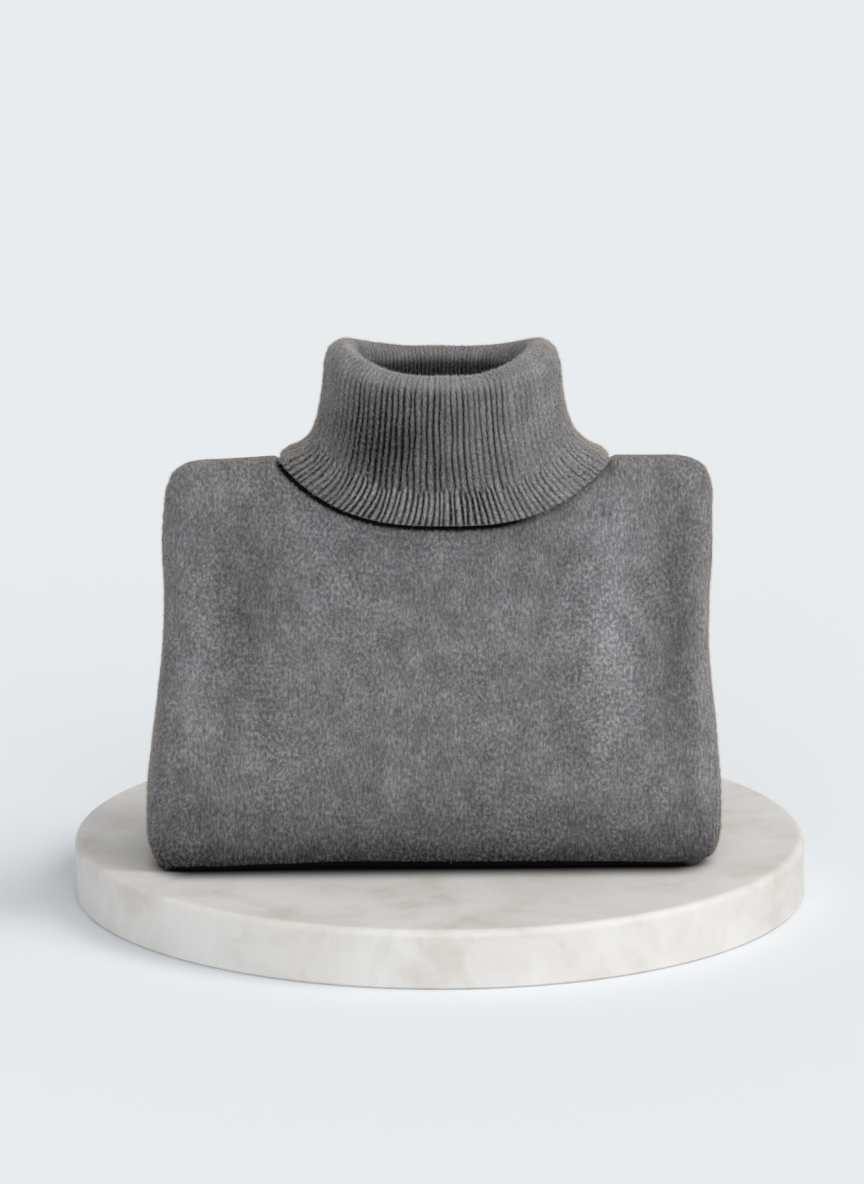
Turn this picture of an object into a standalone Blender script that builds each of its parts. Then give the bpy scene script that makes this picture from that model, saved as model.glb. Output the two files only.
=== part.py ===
"""A folded turtleneck sweater standing upright on a round marble display stand.

The sweater is folded as a shop folds it: sides and sleeves behind the body, then the lower
half up behind the upper half. The front panel so runs down the front, round the bottom fold
and up the back to the hem rib. The ribbed roll collar stands open as an oval tube.

Sizes are in millimetres until place() turns them into metres. x runs to the viewer's right,
y away from the viewer, and heights are above the top of the stand.
"""

import math

import bmesh
import bpy
from mathutils import Vector

MM = 0.001

# Driving dimensions of the stand, the cloth and the two halves of the fold
STAND_RADIUS = 250.0
STAND_HEIGHT = 40.0
STAND_EDGE = 4.0
STAND_EDGE_STEPS = 4
STAND_CHAMFER = 1.0
STAND_STEPS = 64
WALL = 2.6
CLEARANCE = 0.3
LAYER_CLEARANCE = 1.0

FRONT_Y = -95.0
BACK_Y = -10.0
FRONT_HALF = 37.0
BACK_HALF = 33.0
SHOULDER_HEIGHT = 280.0
HEM_HEIGHT = 218.0
HEM_RIB = 52.0
SHOULDER_ROUND = 30.0
BOTTOM_RISE = 24.0
BOTTOM_TUCK_FRONT = 13.0
BOTTOM_TUCK_BACK = 18.0
BELLY = 6.0
BELLY_TOP = 115.0
LIP_HEIGHT = 22.0
LIP_ROUND = 6.0
RETURN_ANGLE = 165.0
CORNER_RETURN_ANGLE = 97.0

# The left shoulder slopes down by this much between these places from the middle and heights
LEFT_SHOULDER_DROP = 5.0
SLOPE_FROM = 100.0
SLOPE_TO = 180.0
SLOPE_LOW = 215.0
SLOPE_HIGH = 275.0

NECK_CENTRE = (0.0, -62.0, 280.0)
NECK_REACH = (92.0, 52.0, 26.0)
NECK_STEPS = 32
NECK_LAYER_MARGIN = 8.0
SEAM_GAP = 1.6
SEAM_ANGLE = 7.0
BACK_PANEL_BOTTOM = 214.0
BACK_PANEL_TURN = 0.4

# The fold's outline from the front: its reach to the left and to the right at each height
OUTLINE = [
    {"height": 0.0, "left": 193.5, "right": 186.0},
    {"height": 12.0, "left": 196.3, "right": 188.8},
    {"height": 24.0, "left": 197.0, "right": 189.6},
    {"height": 55.0, "left": 196.2, "right": 189.0},
    {"height": 97.0, "left": 191.5, "right": 185.5},
    {"height": 137.0, "left": 187.0, "right": 181.2},
    {"height": 178.0, "left": 184.2, "right": 180.2},
    {"height": 218.0, "left": 185.0, "right": 181.7},
    {"height": 250.0, "left": 183.5, "right": 181.5},
    {"height": 280.0, "left": 183.5, "right": 181.5},
]

# How wide the side fold's rounding is from the front, at each height
SIDE_ROUNDS = [
    {"height": 10.0, "round": 13.0},
    {"height": 60.0, "round": 20.0},
    {"height": 200.0, "round": 20.0},
    {"height": 245.0, "round": 30.0},
]

# The back panel behind the collar, where it bulges back over the lower half, top to bottom.
# The bulge is whole within the first of these places from the middle, and gone by the second.
BULGE_WHOLE = 55.0
BULGE_GONE = 128.0
NECK_BULGE = [
    {"down": 0.0, "y": -74.0, "height": 280.0},
    {"down": 0.2, "y": -40.0, "height": 272.0},
    {"down": 0.4, "y": -15.0, "height": 262.0},
    {"down": 0.55, "y": -9.0, "height": 250.0},
    {"down": 0.7, "y": -20.0, "height": 237.0},
    {"down": 0.85, "y": -42.0, "height": 226.5},
    {"down": 1.0, "y": -55.5, "height": 214.0},
]

# The collar, from the neck seam up inside, over the roll and down to the flap's edge.
# Heights and places are of the middle of the wall at the front, the sides and the back.
COLLAR = [
    {"part": "neck seam", "half": 74.0, "centre": 0.5, "square": 2.1,
     "front_y": -88.3, "side_y": -56.0, "back_y": -26.0, "front": 257.0, "side": 269.0, "back": 259.0},
    {"part": "stand", "half": 69.0, "centre": 0.5, "square": 2.2,
     "front_y": -85.5, "side_y": -54.0, "back_y": -25.0, "front": 284.0, "side": 292.0, "back": 285.0},
    {"part": "upper stand", "half": 60.5, "centre": 1.0, "square": 2.3,
     "front_y": -81.0, "side_y": -52.0, "back_y": -26.0, "front": 315.0, "side": 326.0, "back": 318.0},
    {"part": "inside of roll", "half": 57.5, "centre": 1.0, "square": 2.4,
     "front_y": -79.5, "side_y": -51.0, "back_y": -26.0, "front": 329.0, "side": 342.0, "back": 332.0},
    {"part": "roll rising", "half": 60.0, "centre": 1.0, "square": 2.4,
     "front_y": -81.0, "side_y": -51.0, "back_y": -23.5, "front": 334.5, "side": 349.0, "back": 338.0},
    {"part": "crest", "half": 66.5, "centre": 1.0, "square": 2.4,
     "front_y": -86.0, "side_y": -51.0, "back_y": -18.0, "front": 336.5, "side": 351.5, "back": 340.5},
    {"part": "roll falling", "half": 73.5, "centre": 1.2, "square": 2.4,
     "front_y": -91.5, "side_y": -51.0, "back_y": -12.5, "front": 333.5, "side": 347.0, "back": 337.0},
    {"part": "outside of roll", "half": 77.0, "centre": 1.3, "square": 2.4,
     "front_y": -94.5, "side_y": -51.0, "back_y": -9.0, "front": 326.0, "side": 338.0, "back": 329.0},
    {"part": "upper flap", "half": 78.5, "centre": 1.5, "square": 2.4,
     "front_y": -96.5, "side_y": -52.0, "back_y": -7.0, "front": 309.0, "side": 322.0, "back": 312.0},
    {"part": "middle flap", "half": 80.5, "centre": 1.7, "square": 2.5,
     "front_y": -98.0, "side_y": -54.0, "back_y": -5.5, "front": 287.0, "side": 306.5, "back": 289.0},
    {"part": "above the kink", "half": 84.0, "centre": 2.3, "square": 2.7,
     "front_y": -99.0, "side_y": -58.0, "back_y": -4.5, "front": 268.0, "side": 296.0, "back": 270.0},
    {"part": "kink", "half": 89.0, "centre": 3.2, "square": 2.9,
     "front_y": -100.5, "side_y": -64.0, "back_y": -4.0, "front": 256.5, "side": 289.0, "back": 259.0},
    {"part": "flare", "half": 97.5, "centre": 4.0, "square": 3.1,
     "front_y": -103.5, "side_y": -69.0, "back_y": -3.0, "front": 246.0, "side": 285.0, "back": 249.5},
    {"part": "edge", "half": 105.0, "centre": 4.2, "square": 3.2,
     "front_y": -106.0, "side_y": -72.0, "back_y": -1.5, "front": 238.0, "side": 283.5, "back": 243.0},
]
COLLAR_SEGMENTS = 48
COLLAR_DIP = 2.8

# The hidden layers of each half are a rounded pillow, with these roundings at top and bottom
LAYERS = {
    "front": {"bottom": 20.5, "top": 26.5},
    "back": {"bottom": 18.5, "top": 7.0},
}
LAYER_MARGIN = 1.5
LAYER_DEPTH_MARGIN = 0.7
LAYER_ROUND_LESS = 0.5
LAYER_BELOW_HEM = 4.0
LAYER_CUTS = 5
LAYER_FLAT = 1 / 3
LAYER_PLAIN = 0.03
LIP_REACH = 25.0
LIP_REACH_FROM = 40.0
LIP_REACH_TO = 75.0

# The layers that cross between the two halves
MIDDLE_HALF_WIDTH = 144.0
MIDDLE_BOTTOM = 12.0
MIDDLE_TOP = 204.0
MIDDLE_OVERLAP = 6.0

SLEEVE_TOP = 209.0
SLEEVE_BOTTOM = 25.0
SLEEVE_HALF_THICKNESS = 5.9
SLEEVE_REACH = 12.0
SLEEVE_IN = 5.0
SLEEVE_CORNER = 19.0
SLEEVE_LENGTH_IN = 8.0
SLEEVE_STEPS_ALONG = 16
SLEEVE_STEPS_OVER = 8

WOOL_GREY = (0.176, 0.173, 0.179, 1.0)
RIB_GREY = (0.150, 0.148, 0.153, 1.0)
MARBLE_WHITE = (0.640, 0.610, 0.580, 1.0)
WOOL_ROUGHNESS = 0.95
MARBLE_ROUGHNESS = 0.45

front_middle = FRONT_Y + FRONT_HALF / 2
groove_middle = (FRONT_Y + FRONT_HALF + BACK_Y - BACK_HALF) / 2


# ---------------------------------------------------------------- helpers


def place(x, y, height):
    """A point in metres, from millimetres above the stand's top."""
    return Vector((x * MM, y * MM, (STAND_HEIGHT + height) * MM))


def blend(low, high, amount):
    return low + (high - low) * amount


def ease(value, start, end):
    """0 before start, 1 after end, and a smooth rise between."""
    t = min(max((value - start) / (end - start), 0.0), 1.0)
    return t * t * (3 - 2 * t)


def read(table, column, key, value):
    """One column of a table where another column has this value, on a smooth curve."""
    value = min(max(value, table[0][column]), table[-1][column])
    i = 0
    while i < len(table) - 2 and table[i + 1][column] < value:
        i += 1
    here, there = table[i], table[i + 1]
    before, after = table[max(i - 1, 0)], table[min(i + 2, len(table) - 1)]
    step = there[column] - here[column]
    t = (value - here[column]) / step
    slope_in = (there[key] - before[key]) / (there[column] - before[column]) * step
    slope_out = (after[key] - here[key]) / (after[column] - here[column]) * step
    return (
        here[key] * (2 * t**3 - 3 * t**2 + 1)
        + slope_in * (t**3 - 2 * t**2 + t)
        + there[key] * (3 * t**2 - 2 * t**3)
        + slope_out * (t**3 - t**2)
    )


def material(name, colour, roughness):
    made = bpy.data.materials.new(name)
    made.use_nodes = True
    shader = made.node_tree.nodes["Principled BSDF"]
    shader.inputs["Base Color"].default_value = colour
    shader.inputs["Roughness"].default_value = roughness
    shader.inputs["Metallic"].default_value = 0.0
    return made


def add_object(name, mesh, finish, group):
    mesh.materials.append(finish)
    mesh.shade_smooth()
    made = bpy.data.objects.new(name, mesh)
    group.objects.link(made)
    return made


def mesh_from(name, bm):
    bmesh.ops.recalc_face_normals(bm, faces=bm.faces)
    mesh = bpy.data.meshes.new(name)
    bm.to_mesh(mesh)
    bm.free()
    return mesh


def grid(columns, rows, point_at, closed=False):
    """A grid whose point at (across, down), each from 0 to 1, is point_at(across, down)."""
    bm = bmesh.new()
    bmesh.ops.create_grid(bm, x_segments=columns, y_segments=rows, size=0.5)
    for vert in bm.verts:
        vert.co = point_at(vert.co.x + 0.5, vert.co.y + 0.5)
    if closed:
        bmesh.ops.remove_doubles(bm, verts=bm.verts, dist=1e-6)
    return bm


def cloth(name, columns, rows, point_at, finish, group, closed=False, flip=False, offset=-1.0):
    """A sheet of cloth: the grid is its outer face, and Solidify gives it its wall."""
    bm = grid(columns, rows, point_at, closed)
    if flip:
        bmesh.ops.reverse_faces(bm, faces=bm.faces)
    mesh = bpy.data.meshes.new(name)
    bm.to_mesh(mesh)
    bm.free()
    sheet = add_object(name, mesh, finish, group)
    wall = sheet.modifiers.new("wall", "SOLIDIFY")
    wall.thickness = WALL * MM
    wall.offset = offset
    wall.use_even_offset = True
    return sheet


def boolean(target, other, operation):
    cut = target.modifiers.new(operation.lower(), "BOOLEAN")
    cut.operation = operation
    cut.object = other
    cut.solver = "EXACT"
    other.hide_render = True
    other.display_type = "WIRE"


# ---------------------------------------------------------------- the folded body


def reach(side, height):
    """How far the fold reaches to one side (-1 left, 1 right) at a height."""
    return read(OUTLINE, "height", "left" if side < 0 else "right", height)


def side_round(height):
    """How wide the side fold's rounding is from the front, easing from row to row."""
    wide = SIDE_ROUNDS[0]["round"]
    for row, after in zip(SIDE_ROUNDS, SIDE_ROUNDS[1:]):
        wide = blend(wide, after["round"], ease(height, row["height"], after["height"]))
    return wide


def shoulder_drop(x, height):
    """The left shoulder slopes down a little towards its fold."""
    along = min(max((-x - SLOPE_FROM) / (SLOPE_TO - SLOPE_FROM), 0.0), 1.0)
    return LEFT_SHOULDER_DROP * along * ease(height, SLOPE_LOW, SLOPE_HIGH)


def edge_factors(side_angle, top_angle):
    """Out to the side, up and out of the page, each 0 to 1, where a face rounds over its edges.

    A square of angles is laid on a quarter of a ball, so that the corner has no pole.
    """
    a = math.sin(side_angle)
    b = math.sin(top_angle)
    out = a * math.sqrt(1 - b * b / 2)
    up = b * math.sqrt(1 - a * a / 2)
    face = math.sqrt(max(1 - out * out - up * up, 0.0))
    return out, up, face


def across_face(across):
    """The side (-1, 1), the share of the flat width and the share of the edge's turn.

    The inner half of the columns is the flat face, and the outer half is the side folds.
    """
    out = 4 * across - 2
    side = -1 if out < 0 else 1
    return side, min(abs(out), 1.0), max(abs(out) - 1.0, 0.0)


def return_angle(top_share):
    """How far the cloth turns round the side fold: far behind, but only just at the shoulder."""
    return math.radians(blend(RETURN_ANGLE, CORNER_RETURN_ANGLE, top_share))


def upper_half(across, top_share, height, rear=False):
    """A point on the upper half of the fold: its front, or its rear where the back panel is."""
    side, flat, turn = across_face(across)
    top_angle = top_share * math.pi / 2
    last = return_angle(top_share)
    if rear:
        side_angle = turn * (math.pi - last - math.radians(SEAM_ANGLE))
    else:
        side_angle = turn * last
    before = min(side_angle, math.pi / 2)
    out, up, face = edge_factors(before, top_angle)
    if side_angle > math.pi / 2:
        out *= math.sin(side_angle)
        up *= math.sin(side_angle)
        face = math.cos(side_angle)
    rounding = side_round(height)
    straight = reach(side, height) - rounding
    x = side * (straight * flat + rounding * out)
    z = height + SHOULDER_ROUND * up
    z -= shoulder_drop(x, z)
    half = FRONT_HALF / 2
    return x, front_middle + (half if rear else -half) * face, z


def fold_section(across, outer, inner):
    """A point on the rest of the fold, from its outer line round the side fold to its inner one."""
    side, flat, turn = across_face(across)
    angle = turn * math.radians(RETURN_ANGLE)
    rounding = side_round(outer[1])
    straight = reach(side, outer[1]) - rounding
    x = side * (straight * flat + rounding * math.sin(angle))
    inward = (1 - math.cos(angle)) / 2
    y = blend(outer[0], inner[0], inward)
    return x, y, blend(outer[1], inner[1], inward)


def front_line(height):
    """The front's outer and inner lines at a height: it bellies out above the bottom fold."""
    y = FRONT_Y - BELLY * (1 - ease(height, BOTTOM_RISE, BELLY_TOP))
    return (y, height), (FRONT_Y + FRONT_HALF, height)


def back_line(height):
    return (BACK_Y, height), (BACK_Y - BACK_HALF, height)


def corner_line(turn, face_y, tuck, inner_y, way):
    """Where a face turns under: a quarter of an ellipse outside, a small arc at the inner lip."""
    across = way * math.cos(turn)
    down = math.sin(turn)
    outer = (face_y - way * tuck + tuck * across, CLEARANCE + BOTTOM_RISE * (1 - down))
    lip = LIP_HEIGHT + LIP_ROUND * (1 - down)
    return outer, (inner_y - way * LIP_ROUND + LIP_ROUND * across, lip)


# Where the front panel runs: share of its rows at each stretch's end
FRONT_STRETCHES = [
    {"name": "over the shoulder", "rows": 6},
    {"name": "down the front", "rows": 9},
    {"name": "round the front of the bottom", "rows": 5},
    {"name": "under the bottom", "rows": 2},
    {"name": "round the back of the bottom", "rows": 5},
    {"name": "up the back", "rows": 5},
]
FRONT_ROWS = sum(stretch["rows"] for stretch in FRONT_STRETCHES)
ACROSS = 32
BACK_ACROSS = 20
BACK_ROWS = 10
HEM_ROWS = 4


def front_panel_point(across, down):
    row = down * FRONT_ROWS
    number = 0
    while number < len(FRONT_STRETCHES) - 1 and row > FRONT_STRETCHES[number]["rows"] + 1e-6:
        row -= FRONT_STRETCHES[number]["rows"]
        number += 1
    stretch = FRONT_STRETCHES[number]["name"]
    along = row / FRONT_STRETCHES[number]["rows"]
    shoulder = SHOULDER_HEIGHT - SHOULDER_ROUND
    low = CLEARANCE + BOTTOM_RISE
    front_inner = FRONT_Y + FRONT_HALF
    back_inner = BACK_Y - BACK_HALF
    turn = along * math.pi / 2
    if stretch == "over the shoulder":
        return place(*upper_half(across, 1 - along, shoulder))
    if stretch == "down the front":
        lines = front_line(blend(shoulder, low, along))
    elif stretch == "round the front of the bottom":
        lines = corner_line(turn, FRONT_Y - BELLY, BOTTOM_TUCK_FRONT, front_inner, -1)
    elif stretch == "under the bottom":
        front = corner_line(math.pi / 2, FRONT_Y - BELLY, BOTTOM_TUCK_FRONT, front_inner, -1)
        back = corner_line(math.pi / 2, BACK_Y, BOTTOM_TUCK_BACK, back_inner, 1)
        lines = [tuple(blend(f, b, along) for f, b in zip(*ends)) for ends in zip(front, back)]
    elif stretch == "round the back of the bottom":
        lines = corner_line(math.pi / 2 - turn, BACK_Y, BOTTOM_TUCK_BACK, back_inner, 1)
    else:
        lines = back_line(blend(low, HEM_HEIGHT - HEM_RIB - CLEARANCE, along))
    return place(*fold_section(across, *lines))


def hem_rib_point(across, up):
    height = blend(HEM_HEIGHT - HEM_RIB, HEM_HEIGHT, up)
    return place(*fold_section(across, *back_line(height)))


def back_panel_point(across, down):
    """Down the rear of the upper half, with the bulge behind the collar."""
    shoulder = SHOULDER_HEIGHT - SHOULDER_ROUND
    top_share = max(1 - down / BACK_PANEL_TURN, 0.0)
    below = max(down - BACK_PANEL_TURN, 0.0) / (1 - BACK_PANEL_TURN)
    height = blend(shoulder, BACK_PANEL_BOTTOM, below)
    x, y, z = upper_half(across, top_share, height, rear=True)
    y = max(y, front_middle + SEAM_GAP)
    behind = 1 - ease(abs(x), BULGE_WHOLE, BULGE_GONE)
    bulge_y = read(NECK_BULGE, "down", "y", down)
    bulge_z = read(NECK_BULGE, "down", "height", down)
    return place(x, blend(y, bulge_y, behind), blend(z, bulge_z, behind))


def neck_cutter(name, margin, group):
    """An egg-shaped space that opens the neckline, larger by a margin in the hidden layers."""
    bm = bmesh.new()
    bmesh.ops.create_uvsphere(bm, u_segments=NECK_STEPS, v_segments=NECK_STEPS // 2, radius=1.0)
    for vert in bm.verts:
        x, y, z = (c + v * (r + margin) for c, v, r in zip(NECK_CENTRE, vert.co, NECK_REACH))
        vert.co = place(x, y, z)
    return add_object(name, mesh_from(name, bm), None, group)


def front_panel(jersey, group, cutters):
    panel = cloth("front_panel", ACROSS, FRONT_ROWS, front_panel_point, jersey, group, flip=True)
    boolean(panel, neck_cutter("front_neckline", 0.0, cutters), "DIFFERENCE")
    return panel


def back_panel(jersey, group, cutters):
    panel = cloth("back_panel", BACK_ACROSS, BACK_ROWS, back_panel_point, jersey, group)
    boolean(panel, neck_cutter("back_neckline", 0.0, cutters), "DIFFERENCE")
    return panel


# ---------------------------------------------------------------- sleeves


def sleeve_path(side, along):
    """The folded sleeve's edge: in along the top, down the side, in along the bottom."""
    corner = SLEEVE_CORNER
    lengths = [SLEEVE_LENGTH_IN, corner * math.pi / 2, SLEEVE_TOP - SLEEVE_BOTTOM - 2 * corner]
    lengths += [corner * math.pi / 2, SLEEVE_LENGTH_IN]
    run = along * sum(lengths)
    high = SLEEVE_TOP - corner
    low = SLEEVE_BOTTOM + corner

    def edge(height):
        return reach(side, height) - SLEEVE_IN

    if run < lengths[0]:
        return edge(high) - corner - lengths[0] + run, SLEEVE_TOP, (0.0, 1.0)
    run -= lengths[0]
    if run < lengths[1]:
        turn = run / corner
        x = edge(high) - corner * (1 - math.sin(turn))
        return x, high + corner * math.cos(turn), (math.sin(turn), math.cos(turn))
    run -= lengths[1]
    if run < lengths[2]:
        height = high - run
        return edge(height), height, (1.0, 0.0)
    run -= lengths[2]
    if run < lengths[3]:
        turn = run / corner
        x = edge(low) - corner * (1 - math.cos(turn))
        return x, low - corner * math.sin(turn), (math.cos(turn), -math.sin(turn))
    run -= lengths[3]
    return edge(low) - corner - run, SLEEVE_BOTTOM, (0.0, -1.0)


def sleeve(name, side, jersey, group):
    def point(along, over):
        x, height, out = sleeve_path(side, along)
        angle = (over - 0.5) * math.pi
        deep = SLEEVE_REACH * (1 - math.cos(angle))
        y = groove_middle + SLEEVE_HALF_THICKNESS * math.sin(angle)
        return place(side * (x - out[0] * deep), y, height - out[1] * deep)

    steps = (SLEEVE_STEPS_ALONG, SLEEVE_STEPS_OVER)
    return cloth(name, *steps, point, jersey, group, flip=side < 0)


# ---------------------------------------------------------------- collar


def collar_point(around, along):
    """A point of the collar's wall: around the tube, and along it from neck seam to edge."""
    stop = along * (len(COLLAR) - 1)
    rows = [dict(row, at=i) for i, row in enumerate(COLLAR)]

    def at(key):
        return read(rows, "at", key, stop)

    angle = around * 2 * math.pi
    power = 2 / at("square")
    wide = math.copysign(abs(math.cos(angle)) ** power, math.cos(angle))
    deep = math.copysign(abs(math.sin(angle)) ** power, math.sin(angle))
    x = at("centre") + at("half") * wide
    end = "back" if deep > 0 else "front"
    y = blend(at("side_y"), at(end + "_y"), abs(deep))
    height = blend(at(end), at("side"), abs(wide) ** COLLAR_DIP)
    return place(x, y, height)


def collar(rib, group):
    rows = len(COLLAR) - 1
    return cloth(
        "collar", COLLAR_SEGMENTS, rows, collar_point, rib, group, closed=True, offset=0.0
    )


# ---------------------------------------------------------------- hidden layers


def layer_reach(side, height):
    """How far the hidden layers reach: inside the side folds, and short of the bottom's lips."""
    past_lips = ease(height, LIP_REACH_FROM, LIP_REACH_TO)
    return reach(side, height) - WALL - LAYER_CLEARANCE - blend(LIP_REACH, LAYER_MARGIN, past_lips)


def layer_pillow(name, half, y_low, y_high, top, finish, group):
    """A rounded pillow inside one half of the fold, from a cube whose corners go round a ball."""
    rounds = LAYERS[half]
    bottom = CLEARANCE + WALL + LAYER_CLEARANCE + LAYER_MARGIN
    low = bottom + rounds["bottom"]
    high = top - rounds["top"]
    middle = (y_low + y_high) / 2
    thick = (y_high - y_low) / 2
    bm = bmesh.new()
    bmesh.ops.create_cube(bm, size=2.0)
    bmesh.ops.subdivide_edges(bm, edges=bm.edges, cuts=LAYER_CUTS, use_grid_fill=True)
    for vert in bm.verts:
        flat = [min(abs(c) / LAYER_FLAT, 1.0) * math.copysign(1, c) for c in vert.co]
        over = [max(abs(c) - LAYER_FLAT, 0) / (1 - LAYER_FLAT) * math.copysign(1, c) for c in vert.co]
        out = Vector(over).normalized()
        rise = rounds["top"] if out.z > 0 else rounds["bottom"]
        height = blend(low, high, (flat[2] + 1) / 2) + rise * out.z
        side = -1 if vert.co.x < 0 else 1
        round_out = side_round(height) - LAYER_ROUND_LESS
        core = layer_reach(side, height) - round_out
        x = flat[0] * core + round_out * out.x
        y = middle + thick * (LAYER_PLAIN * flat[1] + (1 - LAYER_PLAIN) * out.y)
        vert.co = place(x, y, height - shoulder_drop(x, height))
    return add_object(name, mesh_from(name, bm), finish, group)


def folded_layers(jersey, group, cutters):
    inset = WALL + LAYER_CLEARANCE
    front_low = FRONT_Y + inset
    front_high = FRONT_Y + FRONT_HALF - inset - LAYER_DEPTH_MARGIN
    back_low = BACK_Y - BACK_HALF + inset + LAYER_DEPTH_MARGIN
    back_high = BACK_Y - inset
    layers = layer_pillow(
        "folded_layers", "front", front_low, front_high, SHOULDER_HEIGHT - inset, jersey, group
    )
    back_top = HEM_HEIGHT - LAYER_BELOW_HEM
    back = layer_pillow("back_layers", "back", back_low, back_high, back_top, jersey, cutters)
    bm = bmesh.new()
    bmesh.ops.create_cube(bm, size=1.0)
    for vert in bm.verts:
        x = vert.co.x * 2 * MIDDLE_HALF_WIDTH
        y = front_high - MIDDLE_OVERLAP if vert.co.y < 0 else back_low + MIDDLE_OVERLAP
        vert.co = place(x, y, MIDDLE_BOTTOM if vert.co.z < 0 else MIDDLE_TOP)
    middle = add_object("middle_layers", mesh_from("middle_layers", bm), jersey, cutters)
    boolean(layers, middle, "UNION")
    boolean(layers, back, "UNION")
    boolean(layers, neck_cutter("neck_space", NECK_LAYER_MARGIN, cutters), "DIFFERENCE")
    return layers


# ---------------------------------------------------------------- stand


def display_stand(marble, group):
    """A turned disc with a softly rounded upper edge, its underside flat."""
    edge = [(STAND_RADIUS, STAND_CHAMFER), (STAND_RADIUS - STAND_CHAMFER, 0.0)]
    arc = []
    for step in range(STAND_EDGE_STEPS + 1):
        turn = step / STAND_EDGE_STEPS * math.pi / 2
        across = STAND_RADIUS - STAND_EDGE * (1 - math.sin(turn))
        arc.append((across, STAND_HEIGHT - STAND_EDGE * (1 - math.cos(turn))))
    profile = [(0.0, STAND_HEIGHT)] + arc + edge + [(0.0, 0.0)]
    bm = bmesh.new()
    verts = [bm.verts.new((x * MM, 0.0, z * MM)) for x, z in profile]
    for first, second in zip(verts, verts[1:]):
        bm.edges.new((first, second))
    mesh = bpy.data.meshes.new("display_stand")
    bm.to_mesh(mesh)
    bm.free()
    stand = add_object("display_stand", mesh, marble, group)
    turned = stand.modifiers.new("turned", "SCREW")
    turned.steps = STAND_STEPS
    turned.render_steps = STAND_STEPS
    turned.use_merge_vertices = True
    turned.merge_threshold = 0.00001
    return stand


# ---------------------------------------------------------------- build


def build():
    for old in list(bpy.data.objects):
        bpy.data.objects.remove(old, do_unlink=True)
    parts = bpy.data.collections.new("folded_turtleneck")
    cutters = bpy.data.collections.new("cutters")
    bpy.context.scene.collection.children.link(parts)
    bpy.context.scene.collection.children.link(cutters)
    jersey = material("wool_jersey", WOOL_GREY, WOOL_ROUGHNESS)
    rib = material("wool_rib", RIB_GREY, WOOL_ROUGHNESS)
    marble = material("honed_marble", MARBLE_WHITE, MARBLE_ROUGHNESS)
    display_stand(marble, parts)
    front_panel(jersey, parts, cutters)
    back_panel(jersey, parts, cutters)
    sleeve("sleeve_left", -1, jersey, parts)
    sleeve("sleeve_right", 1, jersey, parts)
    cloth("hem_rib", ACROSS, HEM_ROWS, hem_rib_point, rib, parts, flip=True)
    collar(rib, parts)
    folded_layers(jersey, parts, cutters)


build()
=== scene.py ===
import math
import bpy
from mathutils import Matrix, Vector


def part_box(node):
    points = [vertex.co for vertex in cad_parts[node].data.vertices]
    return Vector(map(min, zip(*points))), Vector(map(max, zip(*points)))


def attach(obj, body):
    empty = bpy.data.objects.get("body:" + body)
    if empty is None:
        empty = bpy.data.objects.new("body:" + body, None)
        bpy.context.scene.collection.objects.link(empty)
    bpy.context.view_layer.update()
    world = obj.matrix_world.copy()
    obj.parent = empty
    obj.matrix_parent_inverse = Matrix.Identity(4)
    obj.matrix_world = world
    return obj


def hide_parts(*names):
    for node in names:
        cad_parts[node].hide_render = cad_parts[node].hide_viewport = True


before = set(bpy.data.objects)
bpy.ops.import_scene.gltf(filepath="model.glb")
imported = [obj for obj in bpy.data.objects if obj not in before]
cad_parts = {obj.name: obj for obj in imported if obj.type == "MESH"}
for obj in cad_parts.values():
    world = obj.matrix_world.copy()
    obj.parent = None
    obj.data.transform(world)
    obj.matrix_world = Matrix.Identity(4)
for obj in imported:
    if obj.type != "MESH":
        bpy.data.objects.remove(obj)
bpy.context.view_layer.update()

# %% [markdown]
# # A folded turtleneck sweater on a marble disc
#
# The sweater is folded the way a shop folds knitwear: the sides and sleeves go behind the body,
# then the lower half goes up behind the upper half, and the roll collar is left standing open.
# Every piece is a thin knitted shell on the form of its solid in the frame. Plain knit (jersey)
# makes the body, and ribbed knit makes the collar and the hem. A honed marble disc carries it all.
#
# Lengths here are in millimetres and heights are above the top of the disc, which is how a maker
# would measure them. One function, `place`, turns them into metres in the frame's own space.

# %% Tools and the frame's sizes
from types import SimpleNamespace

import bmesh
import bpy
import numpy as np

MM = 0.001
stand_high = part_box("display_stand")[1]
STAND_TOP = stand_high.z / MM
STAND_RADIUS = stand_high.x / MM
print(f"disc {2 * STAND_RADIUS:.0f} mm across, {STAND_TOP:.0f} mm thick")


# %% Place points, blend values and read tables
def place(x, y, height):
    """Points in metres from millimetres above the disc's top, one row for each point."""
    x, y, height = np.broadcast_arrays(x, y, height)
    return np.stack([x, y, height + STAND_TOP], axis=-1) * MM


def blend(low, high, amount):
    return low + (high - low) * amount


def ease(value, start, end):
    """0 before start, 1 after end, and a smooth rise between."""
    t = np.clip((value - start) / (end - start), 0.0, 1.0)
    return t * t * (3 - 2 * t)


def table(columns, *rows):
    """Rows of values under named columns."""
    return [dict(zip(columns.split(), row)) for row in rows]


def read(rows, column, key, value):
    """The key column of a table where another column has this value, on a smooth curve."""
    at = np.array([row[column] for row in rows])
    what = np.array([row[key] for row in rows])
    value = np.clip(value, at[0], at[-1])
    here = np.clip(np.searchsorted(at, value, side="right") - 1, 0, len(at) - 2)
    there = here + 1
    before = np.maximum(here - 1, 0)
    after = np.minimum(here + 2, len(at) - 1)
    step = at[there] - at[here]
    t = (value - at[here]) / step
    slope_in = (what[there] - what[before]) / (at[there] - at[before]) * step
    slope_out = (what[after] - what[here]) / (at[after] - at[here]) * step
    rise = 3 * t**2 - 2 * t**3
    return (
        blend(what[here], what[there], rise)
        + slope_in * (t**3 - 2 * t**2 + t)
        + slope_out * (t**3 - t**2)
    )


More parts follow.
